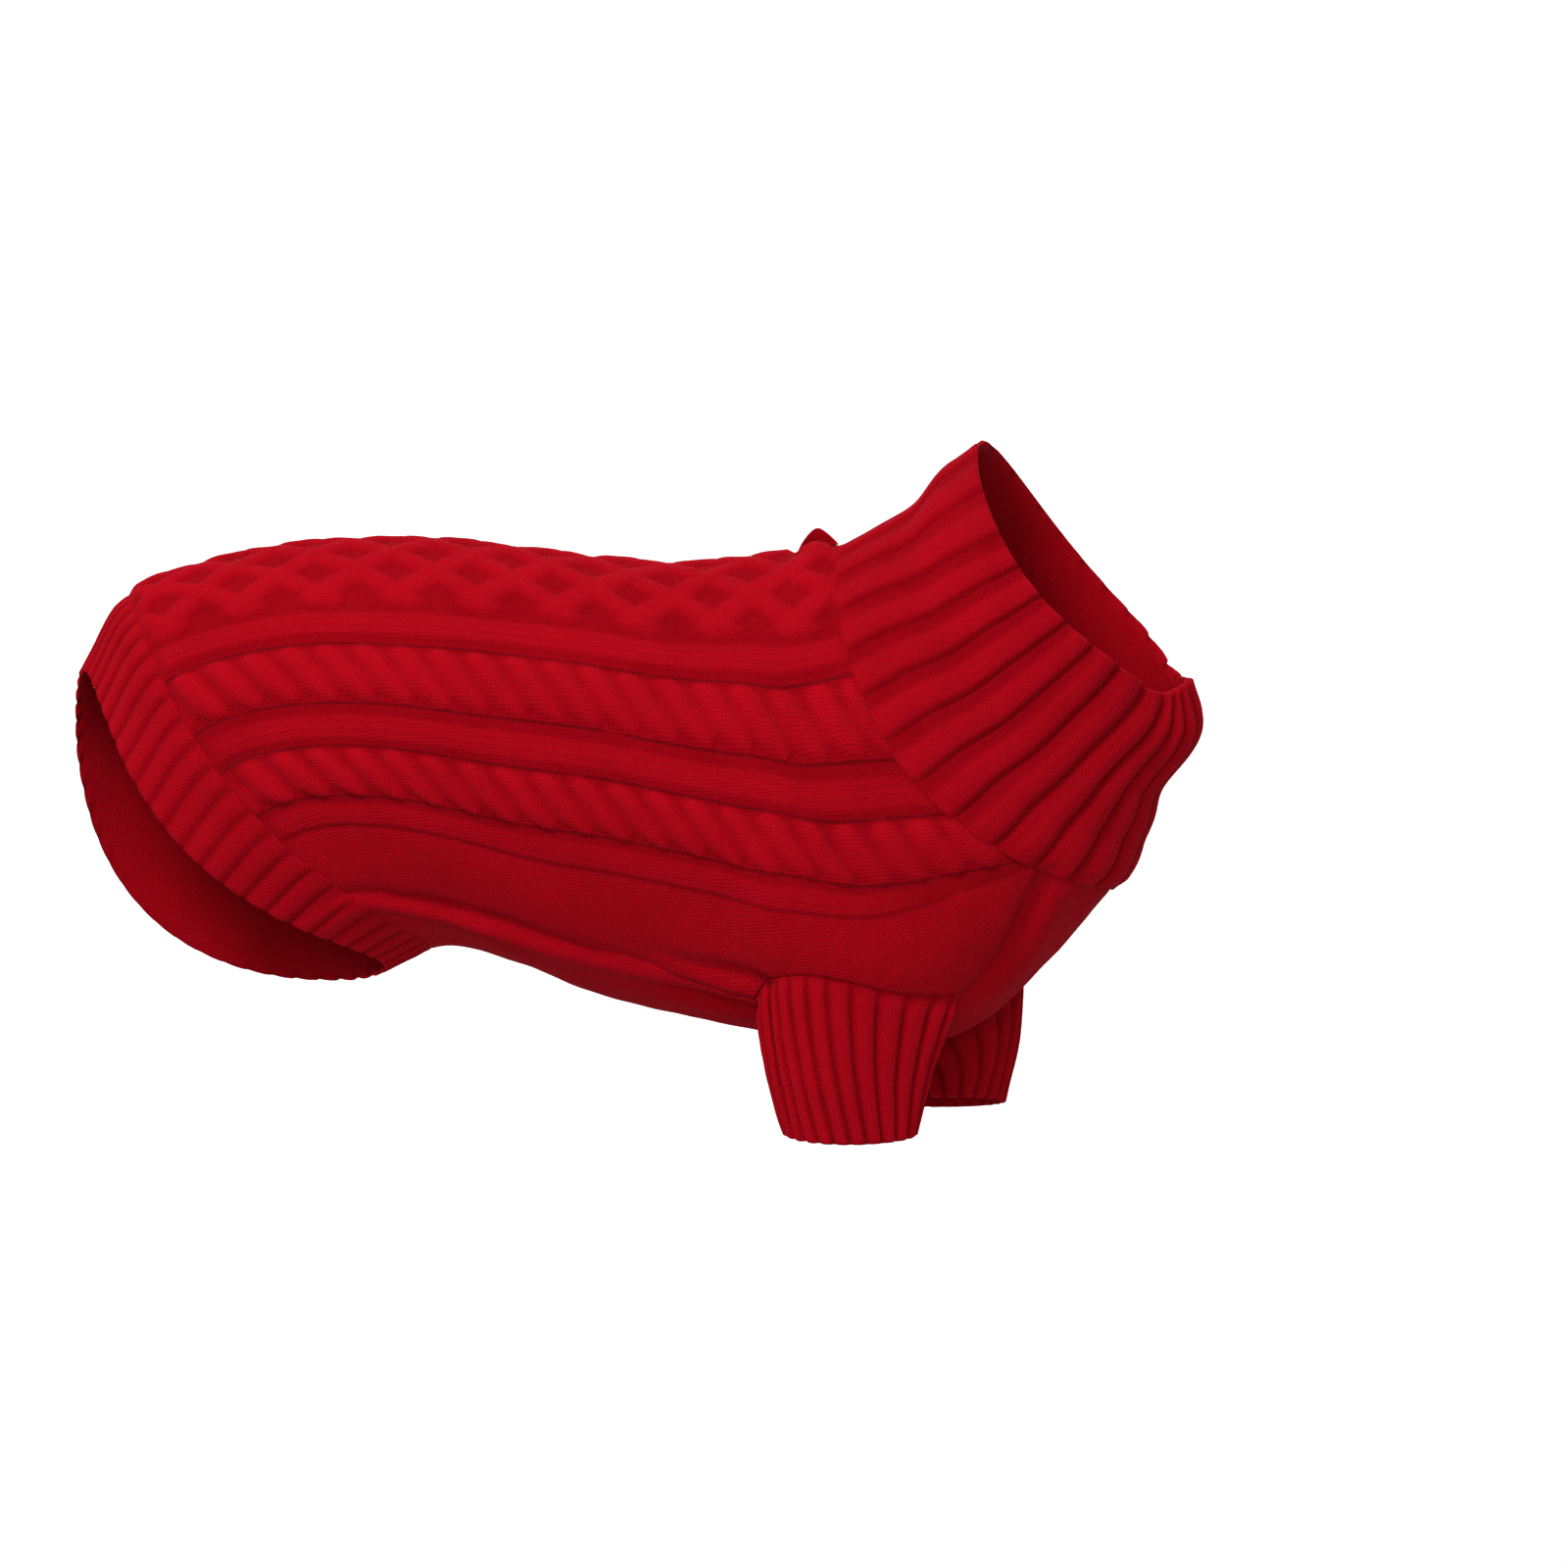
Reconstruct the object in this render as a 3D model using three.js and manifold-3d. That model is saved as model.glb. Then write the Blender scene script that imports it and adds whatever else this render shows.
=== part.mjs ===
// A cable-knit sweater with a deep ribbed collar, held in its worn, hollow shape.
// Millimetres, +X towards the neck, +Z up, the origin inside the back over the shoulders.
// A place on the cloth is a station along the body and an angle round it. Negative angles
// are the garment's right side, and 0 degrees is the middle of the back.

import * as THREE from 'three';
import { mergeVertices } from 'three/addons/utils/BufferGeometryUtils.js';
import Module from 'manifold-3d';

// Driving sizes
const WALL = 2.4;
const COLLAR_WALL = 3.0;
const SEAM_GAP = 0.3;
const BAND_GAP = 0.2;
const CUFF_INSET = 0.5;
const CUFF_LEAN = 0.3;
const INNER_BEVEL = 0.9;
const RED = 0x9c0416;

// An angle just left of the middle of the back, which has a side where 0 has none
const MIDDLE = 0.001;

// The body is a tube of rings. Each ring runs from its top point round both sides to its
// bottom point. Bow carries the sides along the body, and sway carries one side further
// than the other.
const SECTION_COLUMNS = ['topX', 'topZ', 'bottomX', 'bottomZ', 'halfWidth', 'bow', 'sway'];
const SECTIONS = {
  hemEdge: [-396, -64, -223, -234, 58, -52, -24],
  bandTop: [-370, -21, -197, -222, 72, -35, -12],
  rump: [-323, -2, -174, -221, 84, -26, -6],
  loin: [-263, 9, -143, -231, 91, -16, -3],
  waist: [-196, 11, -106, -246, 93, -8, 0],
  ribs: [-129, 4, -62, -258, 96, -2, 0],
  chest: [-62, -3, -8, -268, 98, -6, 5],
  shoulderRear: [-14, 1, 49, -279, 97, -16, 11],
  shoulderFront: [14, 4, 118, -264, 95, -30, 15],
  collarSeam: [37, 8, 193, -187, 86, -42, 10],
  collarLow: [61, 20, 210, -156, 80, -38, 12],
  collarMiddle: [81, 33, 221, -130, 75, -32, 16],
  collarHigh: [97, 52, 229, -99, 71, -24, 19],
  rim: [118, 68, 232, -68, 68, -14, 19],
};
const STATION = Object.fromEntries(Object.keys(SECTIONS).map((name, place) => [name, place]));
const HEM = STATION.hemEdge;
const BAND_TOP = STATION.bandTop;
const COLLAR_SEAM = STATION.collarSeam;
const RIM = STATION.rim;

// The seam between the back and the belly panel, as degrees from the middle of the back
const SIDE_SEAM = [
  { station: 0, angle: 124 }, { station: 1, angle: 127 }, { station: 2, angle: 134 },
  { station: 3, angle: 138 }, { station: 4, angle: 139.5 }, { station: 5, angle: 142.5 },
  { station: 6.2, angle: 143.5 }, { station: 7.4, angle: 148 }, { station: 8.1, angle: 151 },
  { station: 8.4, angle: 148 }, { station: 8.7, angle: 141 }, { station: 9, angle: 136 },
];

// Armholes: an oval on the body, its rise cut from the back panel and its dip from the belly
const ARMHOLES = {
  right: { side: -1, station: 7.16, reach: 0.97, rise: 16, dip: 17 },
  left: { side: 1, station: 7.42, reach: 1.05, rise: 15, dip: 17 },
};
const ARMHOLE_STEPS = 14;

// Cuffs: the ring at the open end of each sleeve
const CUFFS = {
  right: { x: 43, y: -61, z: -325, halfLength: 36, halfWidth: 28, droop: 5, front: -3 },
  left: { x: 98, y: 61, z: -312, halfLength: 34, halfWidth: 28, droop: 4, front: 6 },
};

// Cable pattern of the back panel, in degrees from its middle. The lattice's strands lean a
// width in each pitch, and one of its degrees is perDegree millimetres.
const LATTICE = {
  edge: 42, width: 21, pitch: 45, strand: 5.6, height: 3.0, crossing: 0.15, perDegree: 1.68,
};
const RIBS = [{ from: 48, to: 56 }, { from: 79.5, to: 87 }, { from: 106, to: 113 }];
const RIB = { height: 1.5, dip: 0.35, dipWidth: 0.2, shoulder: 1.5 };
const ROPES = [{ from: 59, to: 76 }, { from: 89, to: 104 }];
const ROPE = { height: 3.3, pitch: 21.4, slant: 0.4, crease: 0.62, sharpness: 5, columns: 5 };
const PATTERN_END = 113;

// The pattern stands lower beside the band and the collar, and its last rib ends early
const PATTERN_FADE = { low: 0.35, length: 6, ribStation: 8, ribLength: 0.6 };

// How far the columns of the pattern shift from an even spread at the neck, in degrees
const NECK_SHIFT = [
  { column: 0, shift: 0 }, { column: 56, shift: 0 }, { column: 76, shift: 9 },
  { column: 87, shift: 15 }, { column: 104, shift: 25.5 }, { column: 113, shift: 20.5 },
];
const NECK_START = 7.4;
const REAR_SQUEEZE = { share: 0.075, station: 4.5, length: 3 };

// Ribbing: how many ribs go round, how high they stand and how much of each is raised.
// Its ribs start low beside a seam and reach their height within the seam share.
const COLLAR_RIBS = { count: 27, height: 2.4, raised: 0.62, start: 0.35 };
const CUFF_RIBS = { count: 24, height: 1.8, raised: 0.6, start: 0 };
const HEM_RIBS = { count: 50, height: 1.6, raised: 0.6, start: 0.35 };
const RIB_SHOULDER = 0.35;
const SEAM_SHARE = 1 / 6;
const THROAT_RIBS = { angle: 100, reach: 50, height: 1.35 };

// How far the collar's ribs lean towards the throat on their way to the rim, in degrees
const RIB_LEAN = { most: 24, nape: 45, throat: 60, bend: 1.7 };

// Folds: soft ridges and troughs, each by its middle, its spread and its height.
// The angle is measured from the side seam where fromSeam is true.
const FOLD_COLUMNS = ['side', 'station', 'spread', 'angle', 'width', 'height', 'fromSeam'];
const FOLDS = [
  [-1, 3.9, 1.9, -6, 4.5, 3.2, true], [-1, 4.2, 2.0, 6, 5, -3.4, true],
  [1, 4.4, 1.6, -5, 4.5, 2.6, true], [1, 4.0, 1.7, 7, 5, -3.0, true],
  [-1, 5.7, 0.75, 17, 4, 2.6, true], [-1, 5.8, 0.6, 25, 3.6, -2.6, true],
  [1, 5.6, 0.8, 16, 4.5, 2.2, true], [1, 5.9, 0.5, 26, 3.6, -2.2, true],
  [-1, 8.62, 0.36, 9, 5, -3.6, true], [1, 8.6, 0.4, 10, 5, -3.0, true],
  [-1, 8.12, 0.14, 104, 14, -2.4, false], [1, 8.2, 0.16, 98, 15, -2.0, false],
  [-1, 6.0, 0.25, 122, 9, -1.8, false], [1, 5.8, 0.3, 124, 9, -1.6, false],
];
const SHOULDER = { station: 7.3, spread: 1.3, angle: 132, width: 34, height: 20 };
const THROAT_ROLL = { station: 12.15, spread: 0.75, width: 36, height: 12 };
const THROAT_TUCK = { station: 11.0, spread: 0.5, width: 36, height: -4 };
const THROAT_FORWARD = 0.75;
const THROAT_DOWN = 0.66;
const RIM_DROOP = { spread: 1.1, angle: 150, width: 17, height: 8 };

// Slit for a lead in the middle of the back, just behind the collar
const SLIT = {
  station: 8.5, length: 18, width: 7, lip: 2.4, low: 2.6, high: 9, steps: 24, plain: 5, seat: 0.75,
  clear: 1, inset: 0.2, innerBrim: 0.8, outerBrim: 0.7,
};
const CUTTER_DEPTH = 12;

// Mesh steps
const LATTICE_STEP = 5.25;
const ROW_STEP = 5.62;
const ROPE_ROW_STEP = 5.35;
const RIB_ROW_STEP = 20;
const SEAM_ROWS = { rear: 9, front: 5 };
const PLAIN_DEGREES = 30;
const PLAIN_SHARES = [0.35, 0.7];
const BELLY_SHARES = [0.9, 0.8, 0.7, 0.6, 0.5, 0.4, 0.3, 0.2, 0.1];
const BELLY_INNER_SHARES = [0.86, 0.72, 0.57, 0.43, 0.28, 0.14];
const BELLY_MIDDLE = 0.001;
const CUFF_BOW = 0.9;
const CUFF_SWELL = 3;
const INNER_ROWS = 11;
const INNER_COLUMNS = [8, 16, 24, 32, 40, 48, 56, 62, 67, 72, 76, 81, 86, 91, 95, 99, 104, 113];
const FINE_STEPS = 260;
const END_ROOM = 0.4;

const radians = (degrees) => (degrees * Math.PI) / 180;
const clamp = (value, low, high) => Math.min(high, Math.max(low, value));
const mix = (a, b, share) => a + (b - a) * share;
const bump = (value, middle, spread) => Math.exp(-(((value - middle) / spread) ** 2));
const ease = (value) => {
  const share = clamp(value, 0, 1);
  return share * share * (3 - 2 * share);
};

// The value of a table at a place, straight between its rows
function lookUp(table, placeName, valueName, place) {
  if (place <= table[0][placeName]) return table[0][valueName];
  for (let row = 1; row < table.length; row += 1) {
    const high = table[row];
    const low = table[row - 1];
    if (place <= high[placeName]) {
      const share = (place - low[placeName]) / (high[placeName] - low[placeName]);
      return mix(low[valueName], high[valueName], share);
    }
  }
  return table[table.length - 1][valueName];
}

// One column of the section table at a station, on a smooth curve through its rows
const sectionRows = Object.values(SECTIONS);
function sectionValue(column, station) {
  const place = clamp(station, 0, sectionRows.length - 1);
  const row = Math.min(Math.floor(place), sectionRows.length - 2);
  const share = place - row;
  const here = sectionRows[row][column];
  const next = sectionRows[row + 1][column];
  const before = row > 0 ? sectionRows[row - 1][column] : 2 * here - next;
  const after = row < sectionRows.length - 2 ? sectionRows[row + 2][column] : 2 * next - here;
  const rise = (next - before) * share;
  const curve = (2 * before - 5 * here + 4 * next - after) * share ** 2;
  const turn = (3 * here - before - 3 * next + after) * share ** 3;
  return 0.5 * (2 * here + rise + curve + turn);
}

function section(station) {
  return Object.fromEntries(
    SECTION_COLUMNS.map((name, column) => [name, sectionValue(column, station)]),
  );
}

// The smooth outer face of the cloth, before cables, ribs and folds
function form(station, angle) {
  const ring = section(station);
  const halfX = (ring.topX - ring.bottomX) / 2;
  const halfZ = (ring.topZ - ring.bottomZ) / 2;
  const half = Math.hypot(halfX, halfZ);
  const alongX = halfZ / half;
  const alongZ = -halfX / half;
  const sine = Math.sin(radians(angle));
  const cosine = Math.cos(radians(angle));
  const turn = Math.abs(angle);
  const throat = [THROAT_ROLL, THROAT_TUCK].reduce((sum, fold) => sum
    + fold.height * bump(station, fold.station, fold.spread) * bump(turn, 180, fold.width), 0);
  const across = ring.bow * sine ** 2 + ring.sway * sine + throat * THROAT_FORWARD;
  const out = cosine * half - throat * THROAT_DOWN;
  const droop = RIM_DROOP.height * bump(station, RIM, RIM_DROOP.spread)
    * bump(turn, RIM_DROOP.angle, RIM_DROOP.width);
  const shoulder = SHOULDER.height * bump(station, SHOULDER.station, SHOULDER.spread)
    * bump(turn, SHOULDER.angle, SHOULDER.width);
  return new THREE.Vector3(
    (ring.topX + ring.bottomX) / 2 + (halfX / half) * out + alongX * across,
    ring.halfWidth * sine + Math.sign(angle) * shoulder,
    (ring.topZ + ring.bottomZ) / 2 + (halfZ / half) * out + alongZ * across - droop,
  );
}

// The face's direction along the body, round it and outwards at one place
const STATION_STEP = 0.01;
const ANGLE_STEP = 0.25;
const SHARE_STEP = 0.02;
function frameAt(station, angle) {
  const along = form(station + STATION_STEP, angle).sub(form(station - STATION_STEP, angle));
  const round = form(station, angle + ANGLE_STEP).sub(form(station, angle - ANGLE_STEP));
  const out = new THREE.Vector3().crossVectors(along, round).normalize();
  return {
    point: form(station, angle),
    out,
    perStation: along.length() / (2 * STATION_STEP),
    perDegree: round.length() / (2 * ANGLE_STEP),
  };
}

const seamAngle = (station) => lookUp(SIDE_SEAM, 'station', 'angle', station);
const armholeOn = (side) => (side < 0 ? ARMHOLES.right : ARMHOLES.left);

// The place of an armhole's edge, from its rear corner (0) over the top to the front (180)
// and back under it (360)
function armholePlace(hole, turn) {
  const station = hole.station - hole.reach * Math.cos(radians(turn));
  const sine = Math.sin(radians(turn));
  const angle = seamAngle(station) - (sine > 0 ? hole.rise : hole.dip) * sine;
  return { station, angle: hole.side * angle };
}

function foldHeight(station, angle) {
  const side = Math.sign(angle) || 1;
  const turn = Math.abs(angle);
  return FOLDS.reduce((sum, row) => {
    const fold = Object.fromEntries(FOLD_COLUMNS.map((name, column) => [name, row[column]]));
    if (fold.side !== side) return sum;
    const middle = fold.fromSeam ? seamAngle(station) + fold.angle : fold.angle;
    return sum + fold.height * bump(station, fold.station, fold.spread)
      * bump(turn, middle, fold.width);
  }, 0);
}

// Where a column of the pattern lies at a station, in degrees from the middle of the back
function columnAngle(column, station) {
  const rear = 1 - REAR_SQUEEZE.share * ease((REAR_SQUEEZE.station - station) / REAR_SQUEEZE.length);
  const neck = clamp((station - NECK_START) / (COLLAR_SEAM - NECK_START), 0, 1) ** 2;
  return column * rear + neck * lookUp(NECK_SHIFT, 'column', 'shift', column);
}

// Cable relief, by the column and the run, which is the distance along it from the waist
const LATTICE_EDGE = LATTICE.perDegree * 2;
function latticeHeight(column, run) {
  if (column > LATTICE.edge + LATTICE_EDGE) return 0;
  const span = 1 / Math.hypot(1 / (LATTICE.width * LATTICE.perDegree), 1 / LATTICE.pitch);
  const strands = [1, -1].map((lean) => {
    const place = column / LATTICE.width + (lean * run) / LATTICE.pitch;
    const away = Math.abs(place - Math.round(place)) * span;
    return Math.max(0, 1 - (away / LATTICE.strand) ** 2);
  });
  const height = Math.max(...strands) + LATTICE.crossing * Math.min(...strands);
  const fade = 1 - ease((column - LATTICE.edge) / LATTICE_EDGE);
  return LATTICE.height * height * fade;
}

function ropeHeight(rope, column, run) {
  const place = (2 * (column - rope.from)) / (rope.to - rope.from) - 1;
  if (Math.abs(place) >= 1) return 0;
  const body = Math.sqrt(1 - place ** 2);
  const turn = run / ROPE.pitch - ROPE.slant * Math.sin((Math.PI / 2) * place);
  const crease = Math.abs(Math.cos(Math.PI * turn)) ** ROPE.sharpness;
  return ROPE.height * body * (1 - ROPE.crease * crease);
}

function ribHeight(rib, column) {
  const place = (2 * (column - rib.from)) / (rib.to - rib.from) - 1;
  if (Math.abs(place) >= 1) return 0;
  return RIB.height * (1 - place ** 4) * (1 - RIB.dip * bump(place, 0, RIB.dipWidth));
}

function cableHeight(column, run) {
  const ropes = ROPES.reduce((sum, rope) => sum + ropeHeight(rope, column, run), 0);
  const ribs = RIBS.reduce((sum, rib) => sum + ribHeight(rib, column), 0);
  return latticeHeight(column, run) + ropes + ribs;
}

// A closed body stitched from runs of numbered points. Each point of a run, and each
// column, has a place (at) that the stitching keeps level with its neighbour's.
class Cloth {
  constructor() {
    this.points = [];
    this.faces = [];
  }

  add(point, at) {
    this.points.push(point.x, point.y, point.z);
    return { index: this.points.length / 3 - 1, at };
  }

  // Fills the strip between two runs, whose points may differ in number
  stitch(left, right) {
    let a = 0;
    let b = 0;
    while (a < left.length - 1 || b < right.length - 1) {
      const leftNext = a < left.length - 1 ? (left[a].at + left[a + 1].at) / 2 : Infinity;
      const rightNext = b < right.length - 1 ? (right[b].at + right[b + 1].at) / 2 : Infinity;
      if (leftNext <= rightNext) {
        this.faces.push(left[a].index, right[b].index, left[a + 1].index);
        a += 1;
      } else {
        this.faces.push(left[a].index, right[b].index, right[b + 1].index);
        b += 1;
      }
    }
  }

  // Joins an outer and an inner face, each a list of columns, into one closed wall
  close(outer, inner, round) {
    const pairs = (columns) => columns.map((column, place) => [
      column, columns[(place + 1) % columns.length],
    ]).slice(0, round ? columns.length : -1);
    pairs(outer).forEach(([left, right]) => this.stitch(left.run, right.run));
    pairs(inner).forEach(([left, right]) => this.stitch(right.run, left.run));
    if (!round) {
      this.stitch(inner[0].run, outer[0].run);
      this.stitch(outer.at(-1).run, inner.at(-1).run);
    }
    const edge = (columns, place) => {
      const run = columns.map((column) => ({ index: column.run.at(place).index, at: column.at }));
      return round ? [...run, { index: run[0].index, at: run[0].at + 360 }] : run;
    };
    this.stitch(edge(outer, 0), edge(inner, 0));
    this.stitch(edge(inner, -1), edge(outer, -1));
  }

  geometry() {
    const shape = new THREE.BufferGeometry();
    shape.setAttribute('position', new THREE.Float32BufferAttribute(this.points, 3));
    shape.setIndex(this.faces);
    if (volume(shape) < 0) {
      const faces = shape.index.array;
      for (let corner = 0; corner < faces.length; corner += 3) {
        [faces[corner], faces[corner + 1]] = [faces[corner + 1], faces[corner]];
      }
    }
    shape.computeVertexNormals();
    return shape;
  }
}

function volume(shape) {
  const corner = (place) => new THREE.Vector3().fromBufferAttribute(
    shape.attributes.position, shape.index.array[place],
  );
  let sum = 0;
  for (let face = 0; face < shape.index.count; face += 3) {
    sum += corner(face).dot(corner(face + 1).cross(corner(face + 2))) / 6;
  }
  return sum;
}

// A point of the cloth at a station and angle, raised by a height, or on its inner face
function clothPoint(station, angle, height) {
  const place = frameAt(station, angle);
  return place.point.addScaledVector(place.out, height);
}

// The station of a row beside a seam, moved off the seam along the cloth
function seamStation(station, angle, direction, bevel) {
  return station + (direction * (SEAM_GAP / 2 + bevel)) / frameAt(station, angle).perStation;
}

// The height of ribbing at a share of the way round and a share of the way from the seam
const ribRise = (ribs, place, fromSeam) => {
  const share = place * ribs.count - Math.floor(place * ribs.count);
  const away = Math.abs(share - 0.5) * 2;
  const shoulder = 1 - ease((away - ribs.raised) / (1 - ribs.raised) + RIB_SHOULDER);
  return ribs.height * shoulder * mix(ribs.start, 1, ease(fromSeam / SEAM_SHARE));
};

// How much higher the collar's ribs stand towards the throat
const throatRise = (angle) => mix(
  1,
  THROAT_RIBS.height,
  ease((Math.abs(angle) - THROAT_RIBS.angle) / THROAT_RIBS.reach),
);

// The lean of a collar rib, by its angle at the seam and its share of the way to the rim
const ribLean = (angle, share) => {
  const turn = Math.abs(angle);
  const room = ease(turn / RIB_LEAN.nape) * ease((180 - turn) / RIB_LEAN.throat);
  return Math.sign(angle) * RIB_LEAN.most * room * share ** RIB_LEAN.bend;
};

// A ribbed tube between two stations of the body, free at one end and sewn at the other
function ribbedTube({ from, to, ribs, perRib, wall, rows, innerColumns, freeEnd, tall, lean }) {
  const cloth = new Cloth();
  const columnsOf = (count, rowCount, bevel, height) => Array.from({ length: count }, (_, place) => {
    const turn = (360 * place) / count;
    const run = Array.from({ length: rowCount + 1 }, (__, row) => {
      const share = row / rowCount;
      const start = ((turn + 180) % 360) - 180 || MIDDLE;
      const angle = start + lean(start, share);
      const low = freeEnd === 'from' ? from : seamStation(from, angle, 1, bevel);
      const high = freeEnd === 'to' ? to : seamStation(to, angle, -1, bevel + BAND_GAP);
      const station = mix(low, high, share);
      return cloth.add(clothPoint(station, angle, height(place / count, share, station, angle)),
        share);
    });
    return { run, at: turn };
  });
  const seamShare = (share) => (freeEnd === 'from' ? 1 - share : share);
  const rise = (place, share, station, angle) => ribRise(ribs, place, seamShare(share))
    * tall(angle) + foldHeight(station, angle);
  const fall = (place, share, station, angle) => foldHeight(station, angle) - wall;
  const outer = columnsOf(ribs.count * perRib, rows, 0, rise);
  const inner = columnsOf(innerColumns, Math.ceil(rows / 2), INNER_BEVEL, fall);
  cloth.close(outer, inner, true);
  return cloth.geometry();
}

// How far along its own line each place of a pattern column lies from the waist
function columnLengths(side, column) {
  const stations = Array.from({ length: FINE_STEPS + 1 }, (_, step) => mix(
    BAND_TOP, COLLAR_SEAM, step / FINE_STEPS,
  ));
  const points = stations.map((station) => form(station, side * columnAngle(column, station)));
  const lengths = [0];
  points.slice(1).forEach((point, step) => {
    lengths.push(lengths[step] + point.distanceTo(points[step]));
  });
  const waistShare = (STATION.ribs - BAND_TOP) / (COLLAR_SEAM - BAND_TOP);
  const waist = lengths[Math.round(FINE_STEPS * waistShare)];
  return stations.map((station, step) => ({ station, run: lengths[step] - waist }));
}

// The stations of a panel's edge: even ones along the seam, closer ones round the armhole
function edgeStations(side) {
  const hole = armholeOn(side);
  const even = (from, to, count) => Array.from({ length: count }, (_, step) => mix(
    from, to, step / count,
  ));
  const rear = hole.station - hole.reach;
  const front = hole.station + hole.reach;
  const oval = Array.from({ length: ARMHOLE_STEPS }, (_, step) => hole.station
    - hole.reach * Math.cos((Math.PI * step) / ARMHOLE_STEPS));
  return [
    ...even(BAND_TOP, rear, SEAM_ROWS.rear),
    ...oval,
    ...even(front, COLLAR_SEAM, SEAM_ROWS.front),
    COLLAR_SEAM,
  ];
}

// The angle of a panel's edge beside the seam. Rise is how far the armhole cuts into the
// back panel, and below 0 into the belly panel.
function edgeAngle(side, station, rise) {
  const hole = armholeOn(side);
  const away = clamp(Math.abs(station - hole.station) / hole.reach, 0, 1);
  return seamAngle(station) - rise * Math.sqrt(1 - away ** 2);
}

// A point of a panel, raised by a height or on its inner face, with the panel's two ends
// kept clear of the band and the collar
function panelPoint(station, angle, height) {
  const bevel = height < 0 ? INNER_BEVEL : 0;
  const ends = { [BAND_TOP]: 1, [COLLAR_SEAM]: -1 };
  const place = station in ends ? seamStation(station, angle, ends[station], bevel) : station;
  return clothPoint(place, angle, height + foldHeight(station, angle));
}

// How much of its height the pattern has near the panel's ends, near the slit and on its
// last rib
function patternFade(column, run, ends, station, angle) {
  const away = Math.min(run - ends.low, ends.high - run);
  const ending = mix(PATTERN_FADE.low, 1, ease(away / PATTERN_FADE.length));
  const beyond = column > ROPES[1].to ? station - PATTERN_FADE.ribStation : 0;
  return ending * (1 - ease(beyond / PATTERN_FADE.ribLength)) * slitFade(station, angle);
}

// Back panel: lattice, ribs and ropes over the back and both sides, then plain cloth
function backPanel() {
  const cloth = new Cloth();
  const patternColumn = (side, column, step) => {
    const fine = columnLengths(side || 1, column);
    const ends = { low: fine[0].run, high: fine.at(-1).run };
    const first = Math.ceil(ends.low / step + END_ROOM);
    const last = Math.floor(ends.high / step - END_ROOM);
    const inside = Array.from({ length: last - first + 1 }, (_, row) => (first + row) * step);
    const run = [ends.low, ...inside, ends.high].map((length) => {
      const station = lookUp(fine, 'run', 'station', length);
      const angle = (side || 1) * columnAngle(column, station) || MIDDLE;
      const fade = patternFade(column, length, ends, station, angle);
      return cloth.add(panelPoint(station, angle, cableHeight(column, length) * fade), station);
    });
    return { run, at: side * column };
  };
  const plainColumn = (side, share, stations, height, end) => {
    const run = stations.map((station) => {
      const edge = edgeAngle(side, station, armholeOn(side).rise);
      const gap = end ? SEAM_GAP / 2 / frameAt(station, side * edge).perDegree : 0;
      const angle = side * (mix(columnAngle(PATTERN_END, station), edge, share) - gap);
      return cloth.add(panelPoint(station, angle, height), station);
    });
    return { run, at: side * (PATTERN_END + share * PLAIN_DEGREES) };
  };
  const across = (rope, count) => Array.from({ length: count + 1 }, (_, step) => mix(
    rope.from, rope.to, step / count,
  ));
  const ribColumns = RIBS.map((rib) => [
    rib.from, rib.from + RIB.shoulder, (rib.from + rib.to) / 2, rib.to - RIB.shoulder, rib.to,
  ]);
  const ropeColumns = ROPES.map((rope) => across(rope, ROPE.columns));
  const halfLattice = Array.from(
    { length: LATTICE.edge / LATTICE_STEP }, (_, step) => (step + 1) * LATTICE_STEP,
  );
  const side = (sign) => [
    ...halfLattice.map((column) => patternColumn(sign, column, ROW_STEP)),
    ...ribColumns[0].map((column) => patternColumn(sign, column, RIB_ROW_STEP)),
    ...ropeColumns[0].map((column) => patternColumn(sign, column, ROPE_ROW_STEP)),
    ...ribColumns[1].map((column) => patternColumn(sign, column, RIB_ROW_STEP)),
    ...ropeColumns[1].map((column) => patternColumn(sign, column, ROPE_ROW_STEP)),
    ...ribColumns[2].map((column) => patternColumn(sign, column, RIB_ROW_STEP)),
    ...PLAIN_SHARES.map((share) => plainColumn(sign, share, edgeStations(sign), 0, false)),
    plainColumn(sign, 1, edgeStations(sign), 0, true),
  ];
  const outer = [...side(-1).reverse(), patternColumn(0, 0, ROW_STEP), ...side(1)];
  const innerStations = Array.from({ length: INNER_ROWS + 1 }, (_, row) => mix(
    BAND_TOP, COLLAR_SEAM, row / INNER_ROWS,
  ));
  const innerColumn = (sign, column) => ({
    run: innerStations.map((station) => {
      const angle = (sign || 1) * columnAngle(column, station) || MIDDLE;
      return cloth.add(panelPoint(station, angle, -WALL), station);
    }),
    at: sign * column,
  });
  const innerSide = (sign) => [
    ...INNER_COLUMNS.map((column) => innerColumn(sign, column)),
    plainColumn(sign, 0.6, edgeStations(sign), -WALL, false),
    plainColumn(sign, 1, edgeStations(sign), -WALL, true),
  ];
  cloth.close(outer, [...innerSide(-1).reverse(), innerColumn(0, 0), ...innerSide(1)], false);
  return cloth.geometry();
}

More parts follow.
